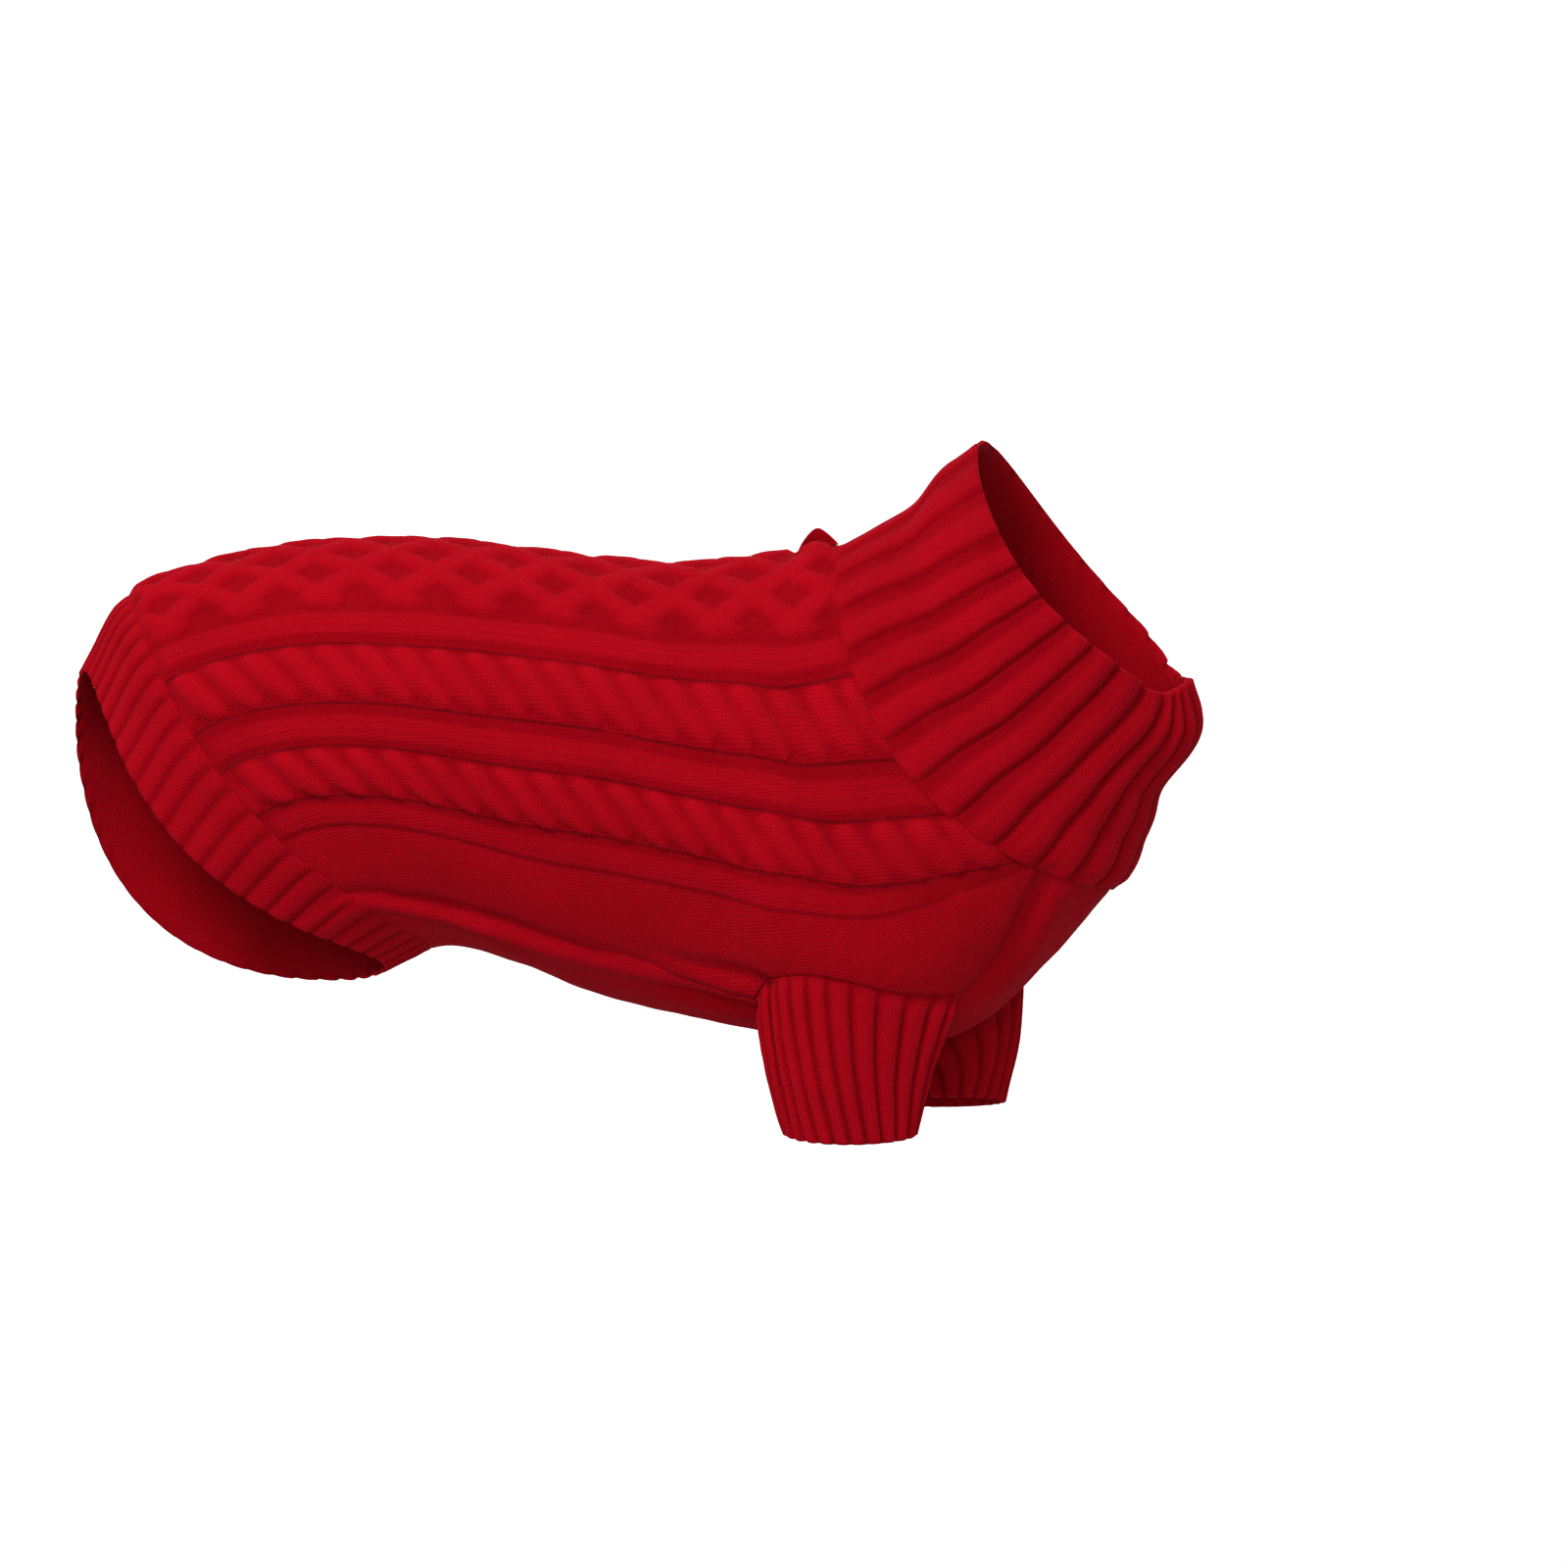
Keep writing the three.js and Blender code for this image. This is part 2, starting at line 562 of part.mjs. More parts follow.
// Belly panel: plain cloth under the body, from the right seam round the bottom to the left
function bellyPanel() {
  const cloth = new Cloth();
  const sparse = (side) => edgeStations(side).filter((_, place, all) => place % 2 === 0
    || place === all.length - 1);
  const column = (side, share, height, end) => ({
    run: (end ? edgeStations(side) : sparse(side)).map((station) => {
      const edge = edgeAngle(side, station, -armholeOn(side).dip);
      const gap = end ? SEAM_GAP / 2 / frameAt(station, side * edge).perDegree : 0;
      const angle = side * mix(180, edge + gap, share);
      return cloth.add(panelPoint(station, angle, height), station);
    }),
    at: side * share,
  });
  const face = (list, height) => [
    column(-1, 1, height, true),
    ...list.map((share) => column(-1, share, height, false)),
    column(-1, BELLY_MIDDLE, height, false),
    ...[...list].reverse().map((share) => column(1, share, height, false)),
    column(1, 1, height, true),
  ];
  cloth.close(face(BELLY_SHARES, 0), face(BELLY_INNER_SHARES, -WALL), false);
  return cloth.geometry();
}

// Cuffs: short ribbed sleeves from the armhole's edge down to an oval open end
function cuff(name) {
  const hole = ARMHOLES[name];
  const end = CUFFS[name];
  const corner = (step) => {
    const turn = (180 * step) / ARMHOLE_STEPS;
    const place = armholePlace(hole, turn);
    const rise = foldHeight(place.station, place.angle);
    return { place, point: clothPoint(place.station, place.angle, rise) };
  };
  const corners = Array.from({ length: 2 * ARMHOLE_STEPS + 1 }, (_, step) => corner(step));
  const middle = corners.slice(1).reduce((sum, item) => sum.add(item.point), new THREE.Vector3())
    .divideScalar(corners.length - 1);
  const topAt = (turn) => {
    const step = Math.min(Math.floor((turn / 180) * ARMHOLE_STEPS), corners.length - 2);
    const share = (turn / 180) * ARMHOLE_STEPS - step;
    const point = corners[step].point.clone().lerp(corners[step + 1].point, share);
    const tangent = corners[step + 1].point.clone().sub(corners[step].point);
    const out = frameAt(
      mix(corners[step].place.station, corners[step + 1].place.station, share),
      mix(corners[step].place.angle, corners[step + 1].place.angle, share),
    ).out;
    const inward = new THREE.Vector3().crossVectors(out, tangent).normalize();
    if (inward.dot(middle.clone().sub(point)) < 0) inward.negate();
    return { point, out, inward };
  };
  const endAt = (turn) => {
    const sine = Math.sin(radians(turn));
    const cosine = Math.cos(radians(turn));
    return new THREE.Vector3(
      end.x - end.halfLength * cosine,
      end.y + hole.side * end.halfWidth * sine,
      end.z - end.droop * sine,
    );
  };
  const lineAt = (turn) => {
    const top = topAt(turn);
    const low = endAt(turn);
    const down = low.clone().sub(top.point).normalize();
    const drop = WALL * clamp(down.dot(top.out), 0, 1);
    const start = top.point.clone().addScaledVector(top.out, -drop)
      .addScaledVector(top.inward, CUFF_INSET + CUFF_LEAN * drop);
    const bow = new THREE.Vector3(end.front, hole.side * CUFF_SWELL, 0);
    return (share) => start.clone().lerp(low, share)
      .addScaledVector(bow, Math.sin(Math.PI * share) * CUFF_BOW);
  };
  const cloth = new Cloth();
  const columnsOf = (count, rows, height) => Array.from({ length: count }, (_, place) => {
    const turn = (360 * place) / count;
    const line = lineAt(turn);
    const beside = lineAt((turn + 1) % 360);
    const run = Array.from({ length: rows + 1 }, (__, row) => {
      const share = row / rows;
      const point = line(share);
      const ahead = line(Math.min(share + SHARE_STEP, 1));
      const down = ahead.sub(line(Math.max(share - SHARE_STEP, 0)));
      const out = new THREE.Vector3().crossVectors(beside(share).sub(point), down).normalize();
      if (out.dot(point.clone().sub(axisAt(share))) < 0) out.negate();
      return cloth.add(point.addScaledVector(out, height(place / count, share)), share);
    });
    return { run, at: turn };
  });
  const axis = { top: middle, low: new THREE.Vector3(end.x, end.y, end.z) };
  const axisAt = (share) => axis.top.clone().lerp(axis.low, share);
  const rise = (place, share) => ribRise(CUFF_RIBS, place, share);
  const outer = columnsOf(CUFF_RIBS.count * 3, 5, rise);
  const inner = columnsOf(ARMHOLE_STEPS * 2, 3, () => -WALL);
  cloth.close(outer, inner, true);
  return cloth.geometry();
}

// The slit's outline on the back, widened all round by a margin
function slitPlace(turn, margin) {
  const here = frameAt(SLIT.station, MIDDLE);
  const along = (SLIT.length / 2 + margin) * Math.cos(radians(turn));
  const across = (SLIT.width / 2 + margin) * Math.sin(radians(turn));
  return {
    station: SLIT.station + along / here.perStation,
    angle: across / here.perDegree || MIDDLE,
  };
}

// The cables die out close to the slit, so that its binding sits on plain cloth
function slitFade(station, angle) {
  const here = frameAt(SLIT.station, MIDDLE);
  const along = Math.abs(station - SLIT.station) * here.perStation - SLIT.length / 2;
  const across = Math.abs(angle) * here.perDegree - SLIT.width / 2;
  const away = Math.max(along, across) - SLIT.lip - SLIT.clear;
  return ease(away / SLIT.plain);
}

// Binding: a lip round the slit, low on the right and standing up on the left
function slitBinding() {
  const cloth = new Cloth();
  const ring = (margin, height) => Array.from({ length: SLIT.steps }, (_, step) => {
    const turn = (360 * step) / SLIT.steps;
    const place = slitPlace(turn, margin);
    const share = (1 + Math.sin(radians(turn))) / 2;
    return cloth.add(clothPoint(place.station, place.angle, height(share)), turn);
  });
  const seat = () => SLIT.seat;
  const top = (share) => mix(SLIT.low, SLIT.high, share ** 2);
  const rings = [
    ring(SLIT.inset, seat), ring(0, (share) => top(share) * SLIT.innerBrim),
    ring(SLIT.lip / 2, top), ring(SLIT.lip, (share) => top(share) * SLIT.outerBrim),
    ring(SLIT.lip, seat),
  ];
  rings.forEach((run, place) => {
    const next = rings[(place + 1) % rings.length];
    const closed = (list) => [...list, { index: list[0].index, at: list[0].at + 360 }];
    cloth.stitch(closed(run), closed(next));
  });
  return cloth.geometry();
}

// The prism that cuts the slit through the back panel
function slitCutter() {
  const cloth = new Cloth();
  const ring = (height) => Array.from({ length: SLIT.steps }, (_, step) => {
    const turn = (360 * step) / SLIT.steps;
    const place = slitPlace(turn, 0);
    return cloth.add(clothPoint(place.station, place.angle, height), turn);
  });
  const closed = (list) => [...list, { index: list[0].index, at: list[0].at + 360 }];
  const low = ring(-CUTTER_DEPTH);
  const high = ring(CUTTER_DEPTH);
  cloth.stitch(closed(low), closed(high));
  for (let step = 1; step < SLIT.steps - 1; step += 1) {
    cloth.faces.push(low[0].index, low[step].index, low[step + 1].index);
    cloth.faces.push(high[0].index, high[step + 1].index, high[step].index);
  }
  return cloth.geometry();
}

const wasm = await Module();
wasm.setup();

function solid(shape) {
  const bare = shape.clone();
  bare.deleteAttribute('normal');
  const merged = mergeVertices(bare, 1e-4);
  return new wasm.Manifold(new wasm.Mesh({
    numProp: 3,
    vertProperties: new Float32Array(merged.attributes.position.array),
    triVerts: new Uint32Array(merged.index.array),
  }));
}

function cutShape(shape, cutter) {
  const mesh = solid(shape).subtract(solid(cutter)).getMesh();
  const result = new THREE.BufferGeometry();
  result.setAttribute('position', new THREE.BufferAttribute(mesh.vertProperties, 3));
  result.setIndex(new THREE.BufferAttribute(mesh.triVerts, 1));
  result.computeVertexNormals();
  return result;
}

function knit(name, shape) {
  const yarn = new THREE.MeshStandardMaterial({ color: RED, roughness: 0.9, metalness: 0 });
  yarn.name = `${name} yarn`;
  const mesh = new THREE.Mesh(shape, yarn);
  mesh.name = name;
  return mesh;
}

const sweater = new THREE.Group();
sweater.name = 'sweater';
sweater.add(knit('back_panel', cutShape(backPanel(), slitCutter())));
sweater.add(knit('belly_panel', bellyPanel()));
sweater.add(knit('collar', ribbedTube({
  from: COLLAR_SEAM,
  to: RIM,
  ribs: COLLAR_RIBS,
  perRib: 4,
  wall: COLLAR_WALL,
  rows: 9,
  innerColumns: 40,
  freeEnd: 'to',
  tall: throatRise,
  lean: ribLean,
})));
sweater.add(knit('hem_rib', ribbedTube({
  from: HEM,
  to: BAND_TOP,
  ribs: HEM_RIBS,
  perRib: 3,
  wall: WALL,
  rows: 3,
  innerColumns: 36,
  freeEnd: 'from',
  tall: () => 1,
  lean: () => 0,
})));
sweater.add(knit('cuff_right', cuff('right')));
sweater.add(knit('cuff_left', cuff('left')));
sweater.add(knit('leash_slit_binding', slitBinding()));

export default sweater;
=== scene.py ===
"""A cable-knit sweater with a deep ribbed collar, in soft red yarn.

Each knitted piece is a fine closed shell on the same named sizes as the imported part. Cables,
ribs, seams and folds are real relief, and the stitches are bump in the knit material.
Lengths are in millimetres until a mesh is made. Negative angles are the right side, and
0 degrees is the middle of the back."""

import bpy
import numpy as np
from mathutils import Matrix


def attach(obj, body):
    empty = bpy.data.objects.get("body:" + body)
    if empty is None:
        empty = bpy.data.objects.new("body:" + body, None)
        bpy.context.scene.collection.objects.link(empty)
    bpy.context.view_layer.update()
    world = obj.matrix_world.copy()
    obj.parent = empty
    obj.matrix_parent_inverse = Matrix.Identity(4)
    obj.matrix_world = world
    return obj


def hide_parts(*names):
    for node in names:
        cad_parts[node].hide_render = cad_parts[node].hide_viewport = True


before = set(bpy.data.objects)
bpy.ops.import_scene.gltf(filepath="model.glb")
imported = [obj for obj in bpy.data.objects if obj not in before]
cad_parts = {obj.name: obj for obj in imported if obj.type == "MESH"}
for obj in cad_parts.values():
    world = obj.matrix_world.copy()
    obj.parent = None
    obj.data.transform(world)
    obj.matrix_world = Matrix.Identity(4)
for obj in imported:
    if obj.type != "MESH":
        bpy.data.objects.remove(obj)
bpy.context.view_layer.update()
METRE = 0.001

# Camera: level, in front of the right side
CAMERA_PLACE = (0.0056, -4.5, -0.1277)
CAMERA_LENS = 180.8
CAMERA_SENSOR = 36.0

# Walls and seams. A panel's end rows lie under the pieces that are sewn over them.
WALL = 2.4
COLLAR_WALL = 3.0
SEAM_TUCK = 0.45
UNDERLAP = 2.6
UNDERLAP_DROP = 0.9
SEAM_DROP = {"depth": 0.25, "width": 3}

# The inner face of each wall has every fourth point of its outer face
INNER_STEP = 4

# The body is a tube of rings, each from its top point round both sides to its bottom point.
# Columns: top x, top z, bottom x, bottom z, half width, bow, sway
SECTIONS = {
    "hem_edge": (-396, -64, -223, -234, 58, -52, -24),
    "band_top": (-370, -21, -197, -222, 72, -35, -12),
    "rump": (-323, -2, -174, -221, 84, -26, -6),
    "loin": (-263, 9, -143, -231, 91, -16, -3),
    "waist": (-196, 11, -106, -246, 93, -8, 0),
    "ribs": (-129, 4, -62, -258, 96, -2, 0),
    "chest": (-62, -3, -8, -268, 98, -6, 5),
    "shoulder_rear": (-14, 1, 49, -279, 97, -16, 11),
    "shoulder_front": (14, 4, 118, -264, 95, -30, 15),
    "collar_seam": (37, 8, 193, -187, 86, -42, 10),
    "collar_low": (61, 20, 210, -156, 80, -38, 12),
    "collar_middle": (81, 33, 221, -130, 75, -32, 16),
    "collar_high": (97, 52, 229, -99, 71, -24, 19),
    "rim": (118, 68, 232, -68, 68, -14, 19),
}
ROWS = np.array(list(SECTIONS.values()), float)
STATION = {name: place for place, name in enumerate(SECTIONS)}
HEM = STATION["hem_edge"]
BAND_TOP = STATION["band_top"]
COLLAR_SEAM = STATION["collar_seam"]
RIM = STATION["rim"]
STATION_STEP = 0.01
ANGLE_STEP = 0.25

# The seam between the back and the belly panel, in degrees from the middle of the back
SEAM_STATIONS = (0, 1, 2, 3, 4, 5, 6.2, 7.4, 8.1, 8.4, 8.7, 9)
SEAM_ANGLES = (124, 127, 134, 138, 139.5, 142.5, 143.5, 148, 151, 148, 141, 136)

ARMHOLES = {
    "right": {"side": -1, "station": 7.16, "reach": 0.97, "rise": 16, "dip": 17},
    "left": {"side": 1, "station": 7.42, "reach": 1.05, "rise": 15, "dip": 17},
}
# How softly an armhole's edge arches between its ends, where 1 is an ellipse
ARCH = 1.5
CUFFS = {
    "right": {
        "x": 43, "y": -61, "z": -325, "half_length": 36, "half_width": 28,
        "droop": 5, "front": -3,
    },
    "left": {
        "x": 98, "y": 61, "z": -312, "half_length": 34, "half_width": 28,
        "droop": 4, "front": 6,
    },
}
CUFF_BOW = {"side": 3, "share": 0.9}
# How a cuff starts under its armhole's edge, and the thin raised line of its seam
CUFF_SEAM = {
    "under": 0.6, "inward": 0.3, "slope": 0.3, "plain": 2, "rise": 11,
    "line": 0.9, "line_place": 1.6, "line_width": 1.3,
}

# The grid of the body: rows of stations, and the columns of each panel
BODY_ROWS = 304
PATTERN_COLUMNS = 128
PLAIN_COLUMNS = 20
BELLY_COLUMNS = 104

# Cable pattern of the back panel, in degrees from its middle
LATTICE = {
    "edge": 42, "width": 21, "pitch": 45, "strand": 8.2, "height": 3.2, "per_degree": 1.68,
    "crown": 2.6, "tip": 0.16, "under": 0.14, "under_width": 1.2,
    "crossing": 0.26, "crossing_width": 0.18,
}
RIBS = ((48, 56), (79.5, 87), (106, 113))
RIB = {"height": 1.7, "ridges": 3, "groove": 0.4, "ends": 8, "lower": 6, "upper": 2.4}
ROPES = ((59, 76), (89, 104))
ROPE = {
    "height": 4.3, "pitch": 21.4, "sweep": 0.8, "bend": 1.5, "half_width": 13.5,
    "crown": 2.4, "upper_edge": 0.8, "lower_edge": 0.45, "scallop": 0.5, "upper_scallop": 0.5,
    "valley": 0.58, "valley_power": 3, "eye": 0.36, "eye_place": -0.4, "eye_width": 0.42,
    "eye_power": 6, "crease": 0.6,
}
PATTERN_END = 113
NECK_COLUMNS = (0, 56, 76, 87, 104, 113)
NECK_SHIFTS = (0, 0, 9, 15, 25.5, 20.5)
NECK_START = 7.4
REAR = {"squeeze": 0.075, "station": 4.5, "length": 3}

# Where the pattern is lower or ends: at the hem, at the collar, and at the end of the last rib
HEM_FADE = {"least": 0.25, "length": 9}
COLLAR_FADE = {"least": 0.35, "length": 6}
LAST_RIB_END = {"station": 8, "length": 0.6}
RAISED_FADE = 2

# Ribbed tubes: ribs, their height and lean, and the points across a rib and along the tube
COLLAR_RIBS = {"count": 27, "height": 2.8, "lean": 24, "steps": 20, "rows": 108}
HEM_RIBS = {"count": 50, "height": 1.5, "lean": 0, "steps": 8, "rows": 40}
CUFF_RIBS = {"count": 24, "height": 2.4, "steps": 12, "rows": 80}
RIB_LEAN = {"nape": 45, "throat": 60, "bend": 1.7}
THROAT_RIBS = {"angle": 95, "length": 45, "height": 1.4}
NAPE_RIBS = {"angle": 10, "length": 35, "loss": 0.35}
RIB_START = {"least": 0.4, "length": 10}
TUBE_SEAM = {"tuck": 0.15, "tuck_width": 1.2, "overlap_width": 1.5}

# The section of a rib from its upper edge (0) down to the groove under it (1), as shares of
# its height: a recess, a soft step up, a round crown and a steep lower edge
WIDE_RIB = (
    (0, -0.45), (0.05, -0.05), (0.28, 0.08), (0.45, 0.82), (0.66, 1.0), (0.86, 0.9),
    (0.95, 0.3), (1, -0.45),
)
CROWDED_RIB = (
    (0, -0.5), (0.06, 0.1), (0.2, 0.6), (0.5, 1.0), (0.78, 0.85), (0.93, 0.2), (1, -0.5),
)
NARROW_RIB = (
    (0, -0.6), (0.08, 0.0), (0.28, 0.8), (0.52, 1.0), (0.78, 0.88), (0.92, 0.2), (1, -0.6),
)
SECTION_STEPS = 200
SECTION_WINDOW = 13

# Main folds. Columns: side, station, spread, angle, width, height, whether from the side seam
FOLDS = (
    (-1, 2.9, 2.1, -0.5, 2.2, -4.4, True), (-1, 2.9, 2.1, 5.5, 4.2, 6.4, True),
    (1, 3.9, 1.9, -0.5, 2.6, -3.0, True), (1, 3.6, 1.9, 6.5, 5, 4.4, True),
    (-1, 6.1, 0.7, -6.5, 1.9, -5.4, True), (-1, 6.0, 0.8, 0.5, 4.0, 5.2, True),
    (-1, 5.9, 0.9, 8, 2.6, -7.0, True), (-1, 5.7, 0.7, 15, 4, 3.4, True),
    (1, 5.6, 0.9, 9, 4, 3.6, True), (1, 5.9, 0.6, 16, 3.2, -3.8, True),
    (-1, 8.55, 0.5, 3, 3.0, -7.0, True), (1, 8.6, 0.4, 8, 4, -4.0, True),
    (-1, 8.5, 0.45, 12, 5, 3.2, True), (-1, 8.62, 0.1, 117, 8, -2.6, False),
    (-1, 8.12, 0.14, 104, 14, -2.4, False), (1, 8.2, 0.16, 98, 15, -2.0, False),
    (-1, 6.0, 0.25, 122, 9, -1.8, False), (1, 5.8, 0.3, 124, 9, -1.6, False),
    (-1, 8.5, 0.38, 0, 20, 5.2, False), (1, 8.5, 0.38, 0, 24, 5.2, False),
)
SHOULDER = {"station": 7.3, "spread": 1.3, "angle": 132, "width": 34, "height": 20}
THROAT_ROLL = {"station": 12.15, "spread": 0.75, "width": 36, "height": 12}
THROAT_TUCK = {"station": 11.0, "spread": 0.5, "width": 36, "height": -4}
THROAT_PUSH = {"forward": 0.75, "down": 0.66}
RIM_DROOP = {"spread": 1.1, "angle": 150, "width": 17, "height": 8}

# Gentle unevenness of the cloth. Columns: size, seed, height
BACK_WAVES = ((60, 11, 0.6), (22, 12, 0.25))
BELLY_WAVES = ((55, 21, 0.6), (20, 22, 0.2))
TUBE_WAVE = {"size": 45, "height": 0.5}
CUFF_WAVE = {"size": 30, "seed": 31, "height": 0.35}
WAVE = {"count": 7, "shortest": 0.6, "longest": 1.8, "calm": 4, "seam": 10}

# The slit, its raised lip and the bare cloth round it
SLIT = {
    "station": 8.5, "length": 18, "width": 7, "lip": 2.4, "low": 1.6, "high": 8.5, "end": 1.1,
    "steps": 96, "lip_steps": 12, "bare": 1, "plain": 5, "seat": 0.75, "skirt": 0.6,
    "round": 0.6, "inner": 0.2, "inner_share": 0.4, "oval": 0.87, "oval_end": 0.5, "reach": 9,
}
# Painted shade on the slit's lip: deepest on its inner side, where it stands for the dark gap of
# the slit
SLIT_SHADE = {"most": 1.3, "least": 0.2, "turn": 90}

# Painted shade, as a share of the deep colour: most in hollows, grooves, creases and on inner
# faces, an even tone on plain cloth and the belly. Then how raised the cloth is between knit and
# purl
SHADE = {
    "height": 1.6, "pattern": 0.85, "plain": 0.22, "crease": 0.9, "belly": 0.2, "rib": 0.9,
    "rib_most": 1.2, "inside": 0.6,
}
PLAIN_RAISED = 0.5
INNER_RAISED = 0.0

# Yarn: the width of a stitch and the height of a course, then its colour and finish
STITCH = 2.1
COURSE = 1.55
YARN = {
    "bright": (0.44, 0.0022, 0.0095, 1), "deep": (0.21, 0.0005, 0.003, 1),
    "roughness": 0.92, "specular": 0.012, "sheen": 0.25, "sheen_roughness": 0.45,
    "sheen_tint": (1.0, 0.03, 0.06, 1.0), "relief": 0.8, "relief_depth": 0.0007,
}
# Noise in the yarn. Columns: scale, detail
WANDER = (60, 2)
FLUFF = (800, 3)
MOTTLE = (28, 3)
FINE = (420, 2)
STITCHES = {
    "wander": 0.8, "course_wander": 0.6, "lean": 1.1, "columns": 0.55, "legs": 0.55,
    "purl": 0.7, "purl_columns": 0.25, "fluff": 1.5,
}
DEPTH = {"mottle": 0.5, "fine": 0.35, "start": 0.25, "tone_and_painted_shade": 0.55}

# Studio. Columns of the lights: place, size, power
LIGHTS = {
    "key": ((-1.25, -2.3, 2.1), 1.0, 72),
    "top": ((-0.3, 0.2, 3.0), 1.4, 28),
    "fill": ((-0.2, -3.3, 0.1), 1.4, 34),
    "far side": ((-0.5, 3.4, 1.3), 1.8, 34),
}
LIGHT_TARGET = (-0.05, 0, -0.12)
WORLD_LIGHT = 0.36
WHITE = (1, 1, 1, 1)
FLOOR_Z = -0.528
BACKDROP = {
    "middle": 1.0, "reach": 7.5, "bend": 2.5, "bend_steps": 12, "height": 8.0, "sides": 96,
    "colour": (0.8, 0.8, 0.8, 1), "roughness": 0.6, "glow": 1.0,
}


def bump(value, middle, spread):
    return np.exp(-(((value - middle) / spread) ** 2))


def ease(value):
    share = np.clip(value, 0, 1)
    return share * share * (3 - 2 * share)


def mix(a, b, share):
    return a + (b - a) * share


# Form of the cloth


def section(station):
    """The section values at each station, on a Catmull-Rom curve through the rows."""
    last = len(ROWS) - 1
    place = np.clip(np.asarray(station, float), 0, last)
    row = np.minimum(place.astype(int), last - 1)
    share = (place - row)[..., None]
    here = ROWS[row]
    after = ROWS[row + 1]
    before = np.where((row > 0)[..., None], ROWS[np.maximum(row - 1, 0)], 2 * here - after)
    inside = (row < last - 1)[..., None]
    later = np.where(inside, ROWS[np.minimum(row + 2, last)], 2 * after - here)
    rise = (after - before) * share
    curve = (2 * before - 5 * here + 4 * after - later) * share**2
    turn = (3 * here - before - 3 * after + later) * share**3
    return 0.5 * (2 * here + rise + curve + turn)


def form(station, angle):
    """The smooth outer face of the cloth, before cables, ribs and folds."""
    station, angle = np.broadcast_arrays(np.asarray(station, float), np.asarray(angle, float))
    values = np.moveaxis(section(station), -1, 0)
    top_x, top_z, bottom_x, bottom_z, half_width, bow, sway = values
    half_x = (top_x - bottom_x) / 2
    half_z = (top_z - bottom_z) / 2
    half = np.hypot(half_x, half_z)
    sine = np.sin(np.radians(angle))
    cosine = np.cos(np.radians(angle))
    turn = np.abs(angle)
    throat = sum(
        fold["height"] * bump(station, fold["station"], fold["spread"])
        * bump(turn, 180, fold["width"])
        for fold in (THROAT_ROLL, THROAT_TUCK)
    )
    across = bow * sine**2 + sway * sine + throat * THROAT_PUSH["forward"]
    out = cosine * half - throat * THROAT_PUSH["down"]
    droop = RIM_DROOP["height"] * bump(station, RIM, RIM_DROOP["spread"])
    droop = droop * bump(turn, RIM_DROOP["angle"], RIM_DROOP["width"])
    shoulder = SHOULDER["height"] * bump(station, SHOULDER["station"], SHOULDER["spread"])
    shoulder = shoulder * bump(turn, SHOULDER["angle"], SHOULDER["width"])
    x = (top_x + bottom_x) / 2 + half_x / half * out + half_z / half * across
    y = half_width * sine + np.sign(angle) * shoulder
    z = (top_z + bottom_z) / 2 + half_z / half * out - half_x / half * across - droop
    return np.stack([x, y, z], -1)


def frame_at(station, angle):
    """The face's point, its outward direction, and its length for a station and a degree."""
    low = np.clip(station - STATION_STEP, 0, RIM)
    high = np.clip(station + STATION_STEP, 0, RIM)
    along = form(high, angle) - form(low, angle)
    round_it = form(station, angle + ANGLE_STEP) - form(station, angle - ANGLE_STEP)
    out = np.cross(along, round_it)
    out /= np.linalg.norm(out, axis=-1, keepdims=True)
    per_station = np.linalg.norm(along, axis=-1) / np.maximum(high - low, STATION_STEP)
    per_degree = np.linalg.norm(round_it, axis=-1) / (2 * ANGLE_STEP)
    return form(station, angle), out, per_station, per_degree


def seam_angle(station):
    return np.interp(station, SEAM_STATIONS, SEAM_ANGLES)


def hole_on(side):
    return ARMHOLES["right"] if side < 0 else ARMHOLES["left"]


def edge_angle(side, station, rise):
    """A panel's side edge, which leaves the seam by up to the rise round the armhole."""
    hole = hole_on(side)
    away = np.clip(np.abs(station - hole["station"]) / hole["reach"], 0, 1)
    return seam_angle(station) - rise * (1 - away**2) ** (ARCH / 2)


def fold_height(station, angle):
    turn = np.abs(angle)
    side = np.where(angle < 0, -1, 1)
    total = np.zeros(np.broadcast(station, angle).shape)
    for fold_side, place, spread, fold_angle, width, height, from_seam in FOLDS:
        middle = seam_angle(station) + fold_angle if from_seam else fold_angle
        fold = height * bump(station, place, spread) * bump(turn, middle, width)
        total += np.where(side == fold_side, fold, 0)
    return total


def unevenness(u, v, size, seed):
    """A gentle irregular wave over a face, for places in millimetres."""
    random = np.random.default_rng(seed)
    total = np.zeros(np.broadcast(u, v).shape)
    for _ in range(WAVE["count"]):
        heading = random.uniform(0, 2 * np.pi)
        length = size * random.uniform(WAVE["shortest"], WAVE["longest"])
        start = random.uniform(0, 2 * np.pi)
        total += np.sin(2 * np.pi * (u * np.cos(heading) + v * np.sin(heading)) / length + start)
    return total / WAVE["calm"]


def uneven_cloth(u, v, waves):
    return sum(unevenness(u, v, size, seed) * height for size, seed, height in waves)


def panel_ends(station, angle):
    """Moves the first row under the hem band and the last one under the collar."""
    _, _, per_station, _ = frame_at(station, angle)
    low = (station == BAND_TOP) * UNDERLAP / per_station
    high = (station == COLLAR_SEAM) * UNDERLAP / per_station
    return station - low + high


def end_drop(ends):
    """How far a panel drops beside its seams, and under the piece that is sewn over it."""
    beside = SEAM_DROP["depth"] * bump(ends, 0, SEAM_DROP["width"]) * (ends > 0)
    return -UNDERLAP_DROP * (ends <= 0) - beside


def rounded_edge(distance, radius):
    """How far a face drops at a free edge, so that the cloth's edge is round."""
    near = np.clip(1 - distance / radius, 0, 1)
    return radius * (1 - np.sqrt(1 - near**2))


def lengths_along(points):
    steps = np.linalg.norm(np.diff(points, axis=0), axis=-1)
    return np.concatenate([np.zeros((1,) + steps.shape[1:]), np.cumsum(steps, 0)])


